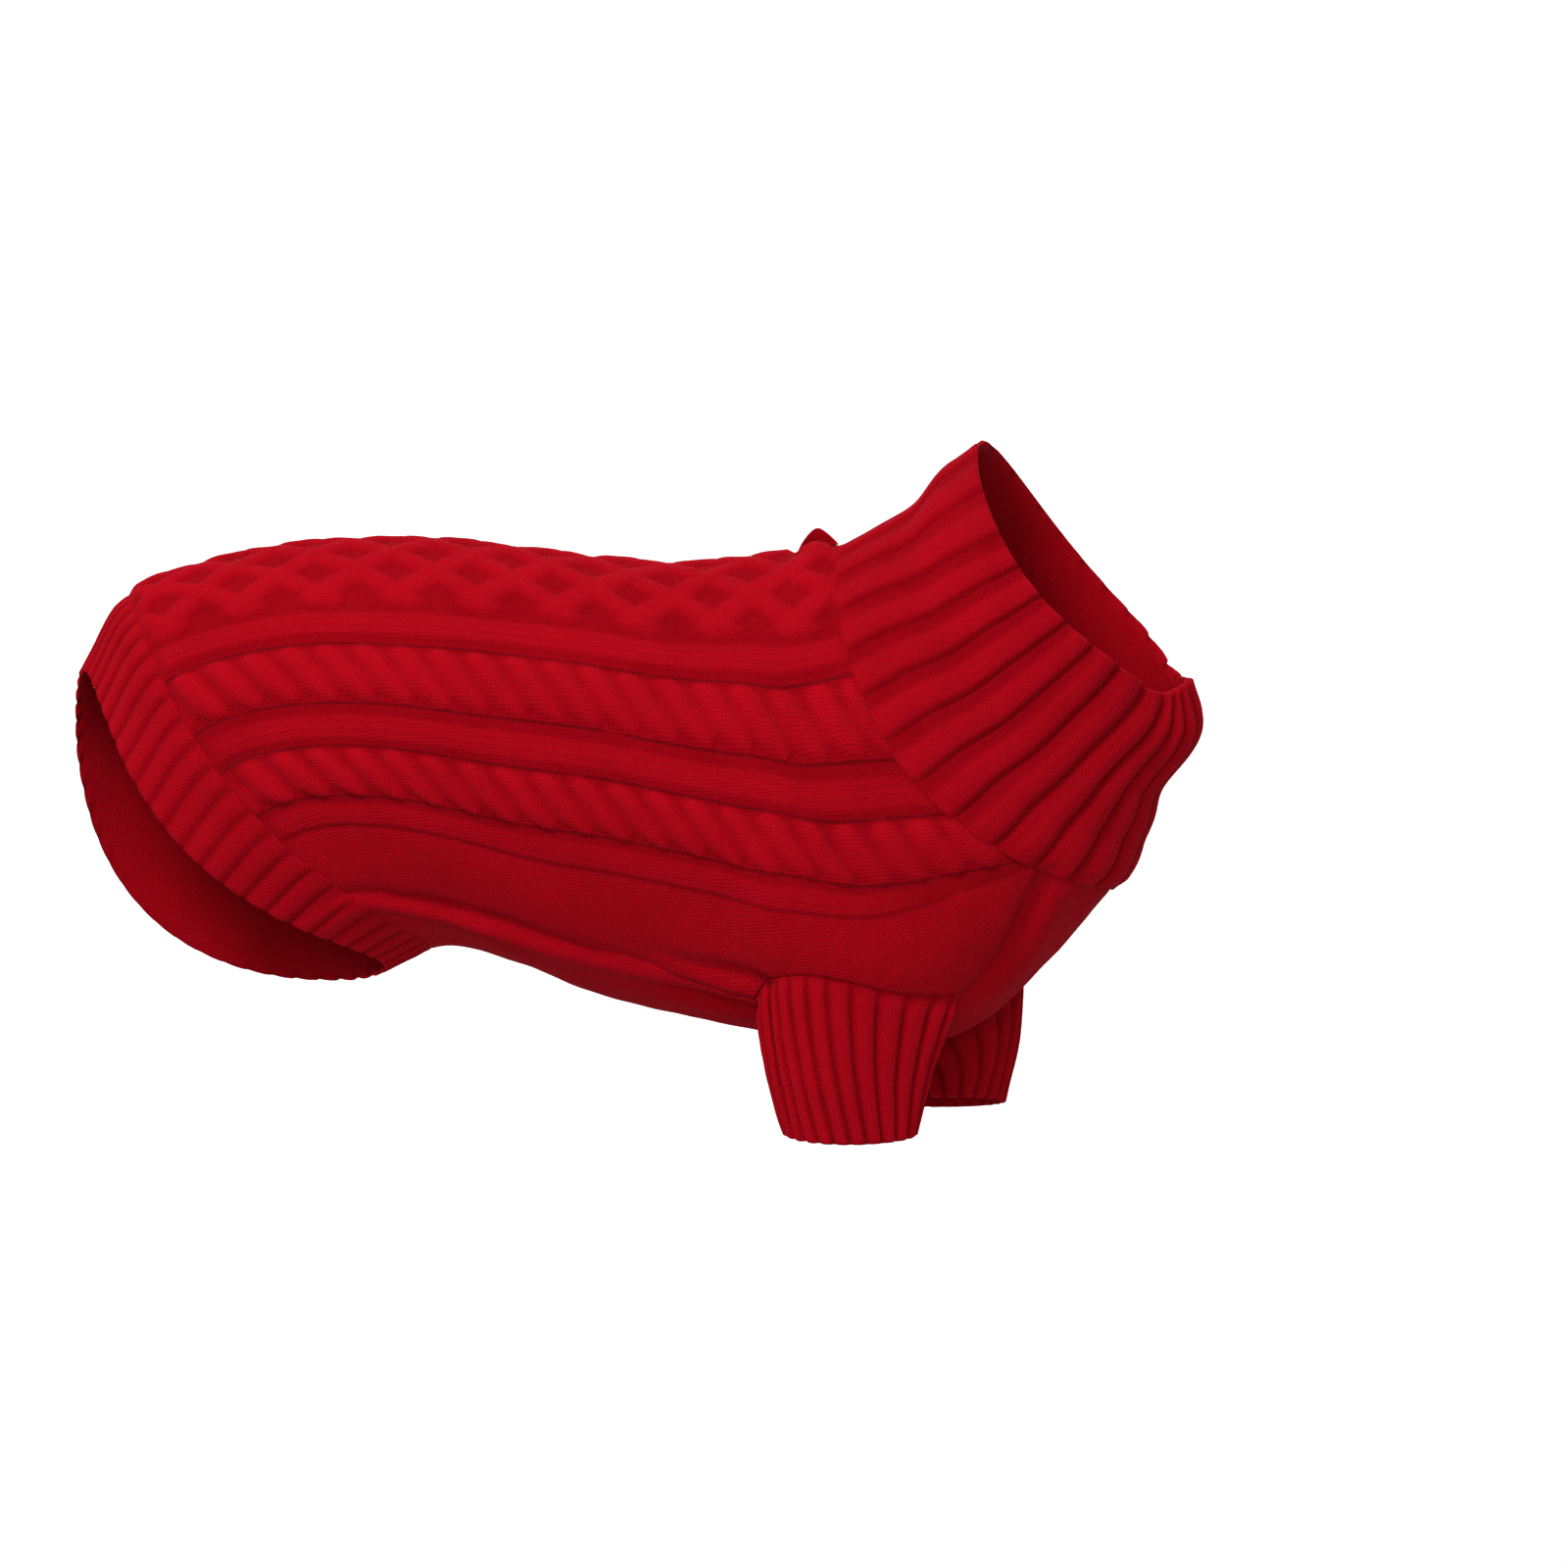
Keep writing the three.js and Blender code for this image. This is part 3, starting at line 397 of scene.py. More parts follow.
def lengths_round(points):
    steps = np.linalg.norm(np.diff(points, axis=1), axis=-1)
    return np.concatenate([np.zeros(steps.shape[:1] + (1,)), np.cumsum(steps, 1)], 1)


# Mesh building


def border_faces(outer, inner, flip):
    """Triangles between an outer edge and its coarser inner edge."""
    faces = []
    half = INNER_STEP // 2
    for place in range(len(inner) - 1):
        here, after = inner[place], inner[place + 1]
        fine = outer[place * INNER_STEP : (place + 1) * INNER_STEP + 1]
        fans = [(here, fine[k], fine[k + 1]) for k in range(half)]
        fans.append((here, fine[half], after))
        fans += [(after, fine[k], fine[k + 1]) for k in range(half, INNER_STEP)]
        faces += [face[::-1] for face in fans] if flip else fans
    return faces


def hole_edges(grids, hole):
    """The four edges of a hole, each on the outer and the inner face and on both UV grids."""
    low_row, high_row, low_column, high_column = hole
    edges = []
    for row, flip in ((low_row, True), (high_row, False)):
        fine = (row * INNER_STEP, slice(low_column * INNER_STEP, high_column * INNER_STEP + 1))
        coarse = (row, slice(low_column, high_column + 1))
        places = (fine, coarse, fine, coarse)
        edges.append((*[grid[place] for grid, place in zip(grids, places)], flip))
    for column, flip in ((low_column, False), (high_column, True)):
        fine = (slice(low_row * INNER_STEP, high_row * INNER_STEP + 1), column * INNER_STEP)
        coarse = (slice(low_row, high_row + 1), column)
        places = (fine, coarse, fine, coarse)
        edges.append((*[grid[place] for grid, place in zip(grids, places)], flip))
    return edges


def grid_faces(grid, hole, scale, flip):
    """The four-sided faces of a grid of point numbers, without those in the hole."""
    corners = [grid[:-1, :-1], grid[1:, :-1], grid[1:, 1:], grid[:-1, 1:]]
    if flip:
        corners = corners[::-1]
    cloth = np.ones(corners[0].shape, bool)
    if hole:
        low_row, high_row, low_column, high_column = (place * scale for place in hole)
        cloth[low_row:high_row, low_column:high_column] = False
    return np.stack([corner[cloth] for corner in corners], 1).tolist()


def shell(name, outer, inner, uv, around, raised, tone_and_painted_shade, hole=None):
    """A closed wall between an outer face and a coarser inner face.

    Rows run along the stations and columns round the body. An around wall closes on itself,
    and its last column repeats the first. A hole is its first and last row, then its first and
    last column, all on the inner face."""
    inner = inner[::INNER_STEP, ::INNER_STEP]
    rows, columns = outer.shape[0] - 1, outer.shape[1] - 1
    kept = columns if around else columns + 1
    outer_index = np.arange((rows + 1) * kept).reshape(rows + 1, kept)
    inner_rows, inner_columns = inner.shape[0], inner.shape[1]
    inner_kept = inner_columns - 1 if around else inner_columns
    inner_index = outer_index.size + np.arange(inner_rows * inner_kept)
    inner_index = inner_index.reshape(inner_rows, inner_kept)
    if around:
        outer_index = np.concatenate([outer_index, outer_index[:, :1]], 1)
        inner_index = np.concatenate([inner_index, inner_index[:, :1]], 1)
    uv_place = np.arange((rows + 1) * (columns + 1)).reshape(rows + 1, columns + 1)
    grids = (outer_index, inner_index, uv_place, uv_place[::INNER_STEP, ::INNER_STEP])
    edges = [(*[grid[0] for grid in grids], False), (*[grid[-1] for grid in grids], True)]
    if not around:
        edges.append((*[grid[:, 0] for grid in grids], True))
        edges.append((*[grid[:, -1] for grid in grids], False))
    if hole:
        edges += hole_edges(grids, hole)
    faces = grid_faces(grids[0], hole, INNER_STEP, False) + grid_faces(grids[1], hole, 1, True)
    uv_faces = grid_faces(grids[2], hole, INNER_STEP, False) + grid_faces(grids[3], hole, 1, True)
    for outer_edge, inner_edge, outer_uv, inner_uv, flip in edges:
        faces += border_faces(outer_edge.tolist(), inner_edge.tolist(), flip)
        uv_faces += border_faces(outer_uv.tolist(), inner_uv.tolist(), flip)
    points = np.concatenate([outer[:, :kept].reshape(-1, 3), inner[:, :inner_kept].reshape(-1, 3)])
    mesh = bpy.data.meshes.new(name)
    mesh.from_pydata((points * METRE).tolist(), [], faces)
    mesh.polygons.foreach_set("use_smooth", np.ones(len(faces), bool))
    layer = mesh.uv_layers.new(name="knit")
    loops = np.concatenate([np.asarray(face) for face in uv_faces])
    layer.data.foreach_set("uv", (uv.reshape(-1, 2)[loops] * METRE).ravel())
    inner_points = inner_rows * inner_kept
    # Painted shade on the inner face, which is darker as the inside of the garment lies in shade;
    # the outer face takes the values it is given
    for label, values, inside in (
        ("raised", raised, INNER_RAISED), ("tone_and_painted_shade", tone_and_painted_shade, SHADE["inside"]),
    ):
        attribute = mesh.attributes.new(label, "FLOAT", "POINT")
        both = np.concatenate([values[:, :kept].ravel(), np.full(inner_points, inside)])
        attribute.data.foreach_set("value", both.astype(np.float32))
    mesh.update()
    piece = bpy.data.objects.new(name, mesh)
    bpy.context.scene.collection.objects.link(piece)
    return piece


# Cable relief: each function gives a height, and how far the place is raised cloth


def lattice_relief(column, run):
    """Strands that cross over and under each other round soft diamond hollows."""
    turn = np.abs(column)
    span = 1 / np.hypot(1 / (LATTICE["width"] * LATTICE["per_degree"]), 1 / LATTICE["pitch"])
    places = [turn / LATTICE["width"] + lean * run / LATTICE["pitch"] for lean in (1, -1)]
    aways = [np.abs(place - np.round(place)) * span / LATTICE["strand"] for place in places]
    over = (np.round(places[0]) + np.round(places[1])) % 2 < 1
    strands = [np.clip(1 - away ** LATTICE["crown"], 0, 1) for away in aways]
    beside = np.where(over, aways[0], aways[1])
    under = 1 - LATTICE["under"] * bump(beside, 0, LATTICE["under_width"])
    first = strands[0] * np.where(over, 1, under)
    second = strands[1] * np.where(over, under, 1)
    edge = bump(beside, 1.0, LATTICE["crossing_width"])
    crossing = edge * np.where(over, strands[1], strands[0])
    height = np.maximum(first, second) - LATTICE["crossing"] * crossing
    share = run / LATTICE["pitch"] - np.round(run / LATTICE["pitch"])
    back = LATTICE["width"] * (np.hypot(share, LATTICE["tip"]) - LATTICE["tip"])
    beyond = (turn - LATTICE["edge"] + back) / LATTICE["width"] * span / LATTICE["strand"]
    fade = np.clip(1 - np.clip(beyond, 0, 1) ** LATTICE["crown"], 0, 1)
    return LATTICE["height"] * height * fade, np.maximum(*strands) * fade


def place_across(band, column):
    """Across a rope or a band of ribs, from -1 at its upper edge to 1 at its lower edge."""
    return (2 * (np.abs(column) - band[0])) / (band[1] - band[0]) - 1


def rope_turn(place, run):
    """Along a rope in lumps, whose creases sweep forward as they go down."""
    down = (np.clip(place, -1, 1) + 1) / 2
    return run / ROPE["pitch"] - ROPE["sweep"] * down ** ROPE["bend"]


def rope_relief(rope, column, run):
    """A twisted rope: lumps with soft valleys, a deep eye near the top and scalloped edges."""
    place = place_across(rope, column)
    turn = rope_turn(place, run)
    crease = np.abs(np.cos(np.pi * turn))
    valley = crease ** ROPE["valley_power"]
    narrow = crease ** ROPE["eye_power"]
    lower = place > 0
    scallop = 1 + ROPE["scallop"] * np.where(lower, 1, ROPE["upper_scallop"]) * valley
    steep = np.where(lower, ROPE["lower_edge"], ROPE["upper_edge"])
    body = np.clip(1 - np.abs(place * scallop) ** ROPE["crown"], 0, 1) ** steep
    eye = bump(place, ROPE["eye_place"], ROPE["eye_width"])
    depth = ROPE["valley"] * valley + ROPE["eye"] * eye * narrow
    return ROPE["height"] * body * (1 - depth), (body > 0) * (1 - ROPE["crease"] * narrow)


def rib_relief(rib, column):
    """A band of ribs: a low plateau with fine grooves along it."""
    place = place_across(rib, column)
    inside = np.abs(place) < 1
    wave = 0.5 - 0.5 * np.cos(np.pi * RIB["ridges"] * (place + 1))
    ridges = 1 - RIB["groove"] * (1 - wave) * (1 - place ** RIB["ends"])
    flat = 1 - place ** RIB["lower"]
    crown = np.where(place > 0, flat, 1 - np.abs(place) ** RIB["upper"])
    return np.where(inside, RIB["height"] * crown * ridges, 0), inside * flat


def cable_relief(column, run):
    height, raised = lattice_relief(column, run)
    reliefs = [rope_relief(rope, column, run) for rope in ROPES]
    reliefs += [rib_relief(rib, column) for rib in RIBS]
    for more_height, more_raised in reliefs:
        height = height + more_height
        raised = np.maximum(raised, more_raised)
    return height, np.clip(raised, 0, 1)


def yarn_places(column, round_it, run):
    """The knit's UV places, which follow the turn of the ropes."""
    u, v = round_it, run
    for rope in ROPES:
        across = place_across(rope, column) + 0 * run
        on_rope = np.abs(across) < 1
        u = np.where(on_rope, rope_turn(across, run) * ROPE["pitch"], u)
        v = np.where(on_rope, across * ROPE["half_width"], v)
    return np.stack([u, v], -1)


# Slit


def slit_scale():
    """The lengths of a station and of a degree at the middle of the slit."""
    _, _, per_station, per_degree = frame_at(np.array(SLIT["station"]), np.array(0.0))
    return per_station, per_degree


def slit_half():
    """Half the length of the hole under the slit's lip, in stations."""
    return (SLIT["length"] + SLIT["lip"]) / 2 / slit_scale()[0]


def slit_squeeze(column, station):
    """Draws the columns beside the slit together at its ends, so that its hole is oval."""
    turn = np.abs(station - SLIT["station"]) / slit_half()
    oval = 1 - np.sqrt(1 - SLIT["oval"] * np.clip(turn, 0, 1) ** 2)
    beyond = bump(np.clip(turn - 1, 0, None), 0, SLIT["oval_end"])
    return 1 - oval * beyond * bump(column, 0, SLIT["reach"])


def slit_away(station, angle):
    """The distance from the slit's lip, in millimetres."""
    per_station, per_degree = slit_scale()
    along = np.abs(station - SLIT["station"]) * per_station - SLIT["length"] / 2
    across = np.abs(angle) * per_degree - SLIT["width"] / 2
    return np.maximum(along, across) - SLIT["lip"]


def slit_hole(columns):
    """The rows and columns of the hole on the inner face of the back panel."""
    per_station = BODY_ROWS / INNER_STEP / (COLLAR_SEAM - BAND_TOP)
    rows = [
        int(round((SLIT["station"] + side * slit_half() - BAND_TOP) * per_station))
        for side in (-1, 1)
    ]
    middle = columns // 2 // INNER_STEP
    return (*rows, middle - 1, middle + 1)


def slit_binding():
    """The lip round the slit, low on the right and standing up on the left."""
    per_station, per_degree = slit_scale()
    turn = np.radians(np.linspace(0, 360, SLIT["steps"] + 1)[None, :])
    lip_turn = np.linspace(0, 180, SLIT["lip_steps"] + 1)[:, None]
    lip = SLIT["lip"] / 2
    margin = lip + lip * -np.cos(np.radians(lip_turn))
    swell = np.sin(np.radians(lip_turn)) ** SLIT["round"]
    aside = np.sin(turn)
    tall = mix(SLIT["end"], np.where(aside > 0, SLIT["high"], SLIT["low"]), np.abs(aside))
    along = (SLIT["length"] / 2 + margin) * np.cos(turn)
    across = (SLIT["width"] / 2 + margin) * aside
    station = SLIT["station"] + along / per_station
    angle = across / per_degree
    point, out, _, _ = frame_at(station, angle)
    point = point + out * fold_height(station, angle)[..., None]
    rise = swell * (tall - SLIT["seat"])
    outer = point + out * (SLIT["seat"] * SLIT["skirt"] + rise)[..., None]
    inner = point + out * (SLIT["inner"] + rise * SLIT["inner_share"])[..., None]
    uv = np.stack([lengths_round(outer), lengths_along(outer)], -1)
    raised = np.ones(station.shape)
    # Painted shade: the lip's colour is deepest on its inner side, and stands for the dark gap of
    # the slit
    deep = SLIT_SHADE["most"] - lip_turn / SLIT_SHADE["turn"]
    tone_and_painted_shade = raised * np.clip(deep, SLIT_SHADE["least"], 1)
    return shell("leash_slit_binding_knit", outer, inner, uv, True, raised, tone_and_painted_shade)


# Panels


def column_angle(column, station):
    """Where a column of the pattern lies at a station, in degrees from the back's middle."""
    rear = 1 - REAR["squeeze"] * ease((REAR["station"] - station) / REAR["length"])
    neck = np.clip((station - NECK_START) / (COLLAR_SEAM - NECK_START), 0, 1) ** 2
    shift = np.interp(np.abs(column), NECK_COLUMNS, NECK_SHIFTS)
    return column * rear + np.sign(column) * neck * shift


def back_grid():
    """The station, angle and column of each point. Plain cloth lies just past the pattern."""
    station = np.linspace(BAND_TOP, COLLAR_SEAM, BODY_ROWS + 1)[:, None]
    pattern = np.linspace(0, PATTERN_END, PATTERN_COLUMNS + 1)[1:]
    shares = np.linspace(0, 1, PLAIN_COLUMNS + 1)[1:]
    beyond = np.full(PLAIN_COLUMNS, PATTERN_END + 1.0)
    angles, columns = [], []
    for side in (-1, 1):
        on_pattern = column_angle(side * pattern[None, :], station)
        on_pattern = on_pattern * slit_squeeze(pattern[None, :], station)
        start = column_angle(PATTERN_END, station)
        edge = edge_angle(side, station, hole_on(side)["rise"])
        _, _, _, per_degree = frame_at(station, side * edge)
        edge = edge + SEAM_TUCK / per_degree
        plain = side * mix(start, edge, shares[None, :])
        angles.append(np.concatenate([on_pattern, plain], 1))
        columns.append(side * np.concatenate([pattern, beyond]))
    middle = np.zeros_like(station)
    angle = np.concatenate([angles[0][:, ::-1], middle, angles[1]], 1)
    column = np.concatenate([columns[0][::-1], [0.0], columns[1]])[None, :]
    return np.broadcast_to(station, angle.shape), angle, column


def pattern_fade(station, angle, column, run):
    """The share of its height that the pattern has, near its ends and the slit."""
    last_rib = 1 - ease((station - LAST_RIB_END["station"]) / LAST_RIB_END["length"])
    last_rib = np.where(np.abs(column) > ROPES[1][1], last_rib, 1)
    at_hem = mix(HEM_FADE["least"], 1, ease((run - run[0]) / HEM_FADE["length"]))
    at_collar = mix(COLLAR_FADE["least"], 1, ease((run[-1] - run) / COLLAR_FADE["length"]))
    at_slit = ease((slit_away(station, angle) - SLIT["bare"]) / SLIT["plain"])
    return np.minimum(at_hem, at_collar) * last_rib * at_slit


def back_panel():
    station, angle, column = back_grid()
    smooth = form(station, angle)
    middle_row = int(round(BODY_ROWS * (STATION["ribs"] - BAND_TOP) / (COLLAR_SEAM - BAND_TOP)))
    run = lengths_along(smooth)
    run = run - run[middle_row]
    round_it = lengths_round(smooth)
    round_it = round_it - round_it[:, angle.shape[1] // 2][:, None]
    height, raised = cable_relief(column, run)
    fade = pattern_fade(station, angle, column, run)
    height = height * fade
    plain = np.abs(column) > PATTERN_END
    raised = np.where(plain, PLAIN_RAISED, raised * ease(fade * RAISED_FADE))
    # Painted shade: the colour is deeper in the hollows between the cables and in the ropes'
    # creases, with an even tone on plain cloth
    crease = np.where(plain, 0, SHADE["crease"] * (1 - raised))
    hollow = np.clip(1 - height / SHADE["height"], 0, 1)
    tone_and_painted_shade = np.maximum(hollow * np.where(plain, SHADE["plain"], SHADE["pattern"]), crease)
    ends = np.minimum(run - run[0], run[-1] - run)
    wave = uneven_cloth(round_it, run, BACK_WAVES)
    point, out, _, _ = frame_at(panel_ends(station, angle), angle)
    fold = fold_height(station, angle) + wave * ease(ends / WAVE["seam"])
    outer = point + out * (height * (ends > 0) + fold + end_drop(ends))[..., None]
    inner = point + out * (fold - WALL - UNDERLAP_DROP * (ends <= 0))[..., None]
    uv = yarn_places(column, round_it, run)
    hole = slit_hole(angle.shape[1])
    return shell("back_panel_knit", outer, inner, uv, False, raised, tone_and_painted_shade, hole)


def belly_panel():
    station = np.linspace(BAND_TOP, COLLAR_SEAM, BODY_ROWS + 1)[:, None]
    share = np.linspace(-1, 1, BELLY_COLUMNS + 1)[None, :]
    edges = []
    for side in (-1, 1):
        edge = edge_angle(side, station, -hole_on(side)["dip"])
        _, _, _, per_degree = frame_at(station, side * edge)
        edges.append((edge, edge - UNDERLAP / per_degree))
    edge = np.where(share < 0, edges[0][0], edges[1][0])
    hidden = np.where(share < 0, edges[0][1], edges[1][1])
    at_side = np.abs(share) == 1
    turn = np.where(at_side, hidden, mix(180, edge, np.abs(share)))
    angle = np.where(share < 0, -turn, turn)
    station = np.broadcast_to(station, angle.shape)
    smooth = form(station, angle)
    run = lengths_along(smooth)
    round_it = lengths_round(smooth)
    round_it = round_it - round_it[:, BELLY_COLUMNS // 2][:, None]
    ends = np.minimum(run - run[0], run[-1] - run)
    wave = uneven_cloth(round_it, run, BELLY_WAVES)
    point, out, _, _ = frame_at(panel_ends(station, angle), angle)
    fold = fold_height(station, angle) + wave * ease(ends / WAVE["seam"]) + end_drop(ends)
    fold = fold - UNDERLAP_DROP * at_side
    outer = (point + out * fold[..., None])[:, ::-1]
    inner = (point + out * (fold - WALL)[..., None])[:, ::-1]
    uv = np.stack([round_it, run], -1)[:, ::-1]
    raised = np.full(angle.shape, PLAIN_RAISED)
    # An even tone: the same share of the deep colour over the whole belly panel
    tone_and_painted_shade = np.full(angle.shape, SHADE["belly"])
    return shell("belly_panel_knit", outer, inner, uv, False, raised, tone_and_painted_shade)


# Ribbed pieces


def rib_share(ribs, place, downward):
    """How far across its rib a place is, from 0 at its upper edge to 1 at its lower edge."""
    share = place * ribs["count"] - np.floor(place * ribs["count"])
    return np.where(downward, share, 1 - share)


def rib_section(table, share):
    """The rib's height at a share across it, smooth between the section's points."""
    places, heights = np.array(table).T
    fine = np.linspace(0, 1, SECTION_STEPS + 1)
    line = np.interp(fine, places, heights)
    window = np.hanning(SECTION_WINDOW)
    margin = SECTION_WINDOW - 1
    padded = np.concatenate([line[-SECTION_WINDOW:-1], line, line[1:SECTION_WINDOW]])
    smooth = np.convolve(padded, window / window.sum(), "same")[margin:-margin]
    return np.interp(share, fine, smooth)


def rib_lean(ribs, angle, share):
    """How far a rib leans towards the throat on its way to the rim."""
    turn = np.abs(angle)
    room = ease(turn / RIB_LEAN["nape"]) * ease((180 - turn) / RIB_LEAN["throat"])
    return np.sign(angle) * ribs["lean"] * room * share ** RIB_LEAN["bend"]


def hem_profile(share, angle):
    return rib_section(NARROW_RIB, share), 1 + 0 * angle


def collar_profile(share, angle):
    """Wide ribs that are soft at the nape, and crowd together and stand higher at the throat."""
    turn = np.abs(angle)
    throat = ease((turn - THROAT_RIBS["angle"]) / THROAT_RIBS["length"])
    nape = 1 - ease((turn - NAPE_RIBS["angle"]) / NAPE_RIBS["length"])
    profile = mix(rib_section(WIDE_RIB, share), rib_section(CROWDED_RIB, share), throat)
    return profile, mix(1, THROAT_RIBS["height"], throat) * (1 - NAPE_RIBS["loss"] * nape)


# Painted shade: the colour deepens where the rib section is low, in the grooves between ribs
def rib_shade(profile):
    return np.clip(1 - profile, 0, SHADE["rib_most"]) * SHADE["rib"]


def ribbed_tube(name, start, end, ribs, wall, free_at_start, profile_at):
    """A band of ribs between two stations, sewn at one end and free at the other."""
    place = np.linspace(0, 1, ribs["count"] * ribs["steps"] + 1)[None, :]
    angle = (360 * place + 180) % 360 - 180
    share = np.linspace(0, 1, ribs["rows"] + 1)[:, None]
    station = mix(start, end, share) + 0 * angle
    across = rib_share(ribs, place, angle > 0)
    angle = angle + rib_lean(ribs, angle, share)
    smooth = form(station, angle)
    run = lengths_along(smooth)
    round_it = lengths_round(smooth)
    to_free, to_seam = (run, run[-1] - run) if free_at_start else (run[-1] - run, run)
    profile, tall = profile_at(across + 0 * angle, angle)
    begin = mix(RIB_START["least"], 1, ease(to_seam / RIB_START["length"]))
    rise = profile * ribs["height"] * tall * begin
    wave = unevenness(round_it, run, TUBE_WAVE["size"], ribs["count"]) * TUBE_WAVE["height"]
    edge = rounded_edge(to_free, wall / 2)
    tuck = TUBE_SEAM["tuck"] * bump(to_seam, 0, TUBE_SEAM["tuck_width"])
    _, _, per_station, _ = frame_at(station, angle)
    overlap = SEAM_TUCK / per_station * bump(to_seam, 0, TUBE_SEAM["overlap_width"])
    sewn = station + overlap if free_at_start else station - overlap
    point, out, _, _ = frame_at(sewn, angle)
    fold = fold_height(station, angle) + wave * ease(to_seam / WAVE["seam"])
    outer = point + out * (rise + fold - tuck - edge)[..., None]
    inner = point + out * (fold - wall + edge)[..., None]
    uv = np.stack([round_it, run], -1)
    # The grooves between the ribs get painted shade
    return shell(name, outer, inner, uv, True, np.clip(profile, 0, 1), rib_shade(profile))


def armhole_ring(hole, turn):
    """Points round an armhole's edge, with the cloth's outward and the hole's inward direction."""
    station = hole["station"] - hole["reach"] * np.cos(turn)
    sine = np.sin(turn)
    cut = np.where(sine > 0, hole["rise"], -hole["dip"]) * np.abs(sine) ** ARCH
    angle = hole["side"] * (seam_angle(station) - cut)
    point, out, _, _ = frame_at(station, angle)
    point = point + out * fold_height(station, angle)[:, None]
    middle = point[:-1].mean(0)
    tangent = np.gradient(point, axis=0)
    tangent[0] = tangent[-1] = point[1] - point[-2]
    inward = np.cross(out, tangent)
    inward /= np.linalg.norm(inward, axis=-1, keepdims=True)
    inward *= np.sign(np.sum(inward * (middle - point), -1, keepdims=True))
    return point, out, inward, middle


def cuff(name):
    """A short ribbed sleeve from its armhole's edge down to a lower ring."""
    hole = ARMHOLES[name]
    end = CUFFS[name]
    side = hole["side"]
    turn = np.linspace(0, 360, CUFF_RIBS["count"] * CUFF_RIBS["steps"] + 1)
    sine, cosine = np.sin(np.radians(turn)), np.cos(np.radians(turn))
    point, out, inward, middle = armhole_ring(hole, np.radians(turn))
    low = np.stack([
        end["x"] - end["half_length"] * cosine,
        end["y"] + side * end["half_width"] * sine,
        end["z"] - end["droop"] * sine,
    ], -1)
    down = low - point
    down /= np.linalg.norm(down, axis=-1, keepdims=True)
    drop = WALL * np.clip(np.sum(down * out, -1), 0, 1)[:, None]
    start = point - out * (drop + CUFF_SEAM["under"])
    start = start + inward * (CUFF_SEAM["inward"] + CUFF_SEAM["slope"] * drop)
    share = np.linspace(0, 1, CUFF_RIBS["rows"] + 1)[:, None, None]
    bow = np.array([end["front"], side * CUFF_BOW["side"], 0]) * CUFF_BOW["share"]
    line = mix(start[None], low[None], share) + bow * np.sin(np.pi * share)
    along = np.gradient(line, axis=0)
    round_it = np.gradient(line, axis=1)
    round_it[:, 0] = round_it[:, -1] = line[:, 1] - line[:, -2]
    normal = np.cross(round_it, along)
    normal /= np.linalg.norm(normal, axis=-1, keepdims=True)
    axis = mix(middle, np.array([end["x"], end["y"], end["z"]]), share)
    outward = np.sign(np.sign(np.sum(normal * (line - axis), -1)).sum())
    normal *= outward
    run = lengths_along(line)
    around = lengths_round(line)
    profile = rib_section(NARROW_RIB, rib_share(CUFF_RIBS, turn[None, :] / 360, True)) + 0 * run
    wave = unevenness(around, run, CUFF_WAVE["size"], CUFF_WAVE["seed"] + side)
    wave = wave * CUFF_WAVE["height"]
    edge = rounded_edge(run[-1] - run, WALL / 2)
    begin = ease((run - CUFF_SEAM["plain"]) / CUFF_SEAM["rise"])
    seam_line = CUFF_SEAM["line"] * bump(run, CUFF_SEAM["line_place"], CUFF_SEAM["line_width"])
    rise = profile * CUFF_RIBS["height"] * begin + seam_line
    outer = line + normal * (rise + wave - edge)[..., None]
    inner = line + normal * (wave - WALL + edge)[..., None]
    uv = np.stack([around, run], -1)
    # The cuff's rib grooves get painted shade
    grids = [outer, inner, uv, np.clip(profile, 0, 1), rib_shade(profile)]
    if outward > 0:
        grids = [grid[:, ::-1] for grid in grids]
    outer, inner, uv, raised, tone_and_painted_shade = grids
    return shell(f"cuff_{name}_knit", outer, inner, uv, True, raised, tone_and_painted_shade)


# Materials


class Nodes:
    """A short way to write a material's nodes and links."""

    def __init__(self, tree):
        self.tree = tree

    def add(self, kind, **values):
        node = self.tree.nodes.new(kind)
        for key, value in values.items():
            setattr(node, key, value)
        return node

    def put(self, socket, value):
        if isinstance(value, bpy.types.NodeSocket):
            self.tree.links.new(value, socket)
        else:
            socket.default_value = value

    def math(self, operation, *inputs):
        node = self.add("ShaderNodeMath", operation=operation)
        for place, value in enumerate(inputs):
            self.put(node.inputs[place], value)
        return node.outputs[0]

    def wave(self, value):
        """A cosine from 0 to 1 that repeats at each whole number."""
        turn = self.math("MULTIPLY", value, 2 * np.pi)
        return self.math("MULTIPLY_ADD", self.math("COSINE", turn), 0.5, 0.5)

    def blend(self, share, low, high):
        node = self.add("ShaderNodeMix", data_type="RGBA")
        self.put(node.inputs["Factor"], share)
        self.put(node.inputs[6], low)
        self.put(node.inputs[7], high)
        return node.outputs[2]

    def noise(self, place, kind, seed):
        scale, detail = kind
        node = self.add("ShaderNodeTexNoise", noise_dimensions="4D")
        self.put(node.inputs["Vector"], place)
        node.inputs["W"].default_value = seed
        node.inputs["Scale"].default_value = scale
        node.inputs["Detail"].default_value = detail
        return node.outputs["Fac"]


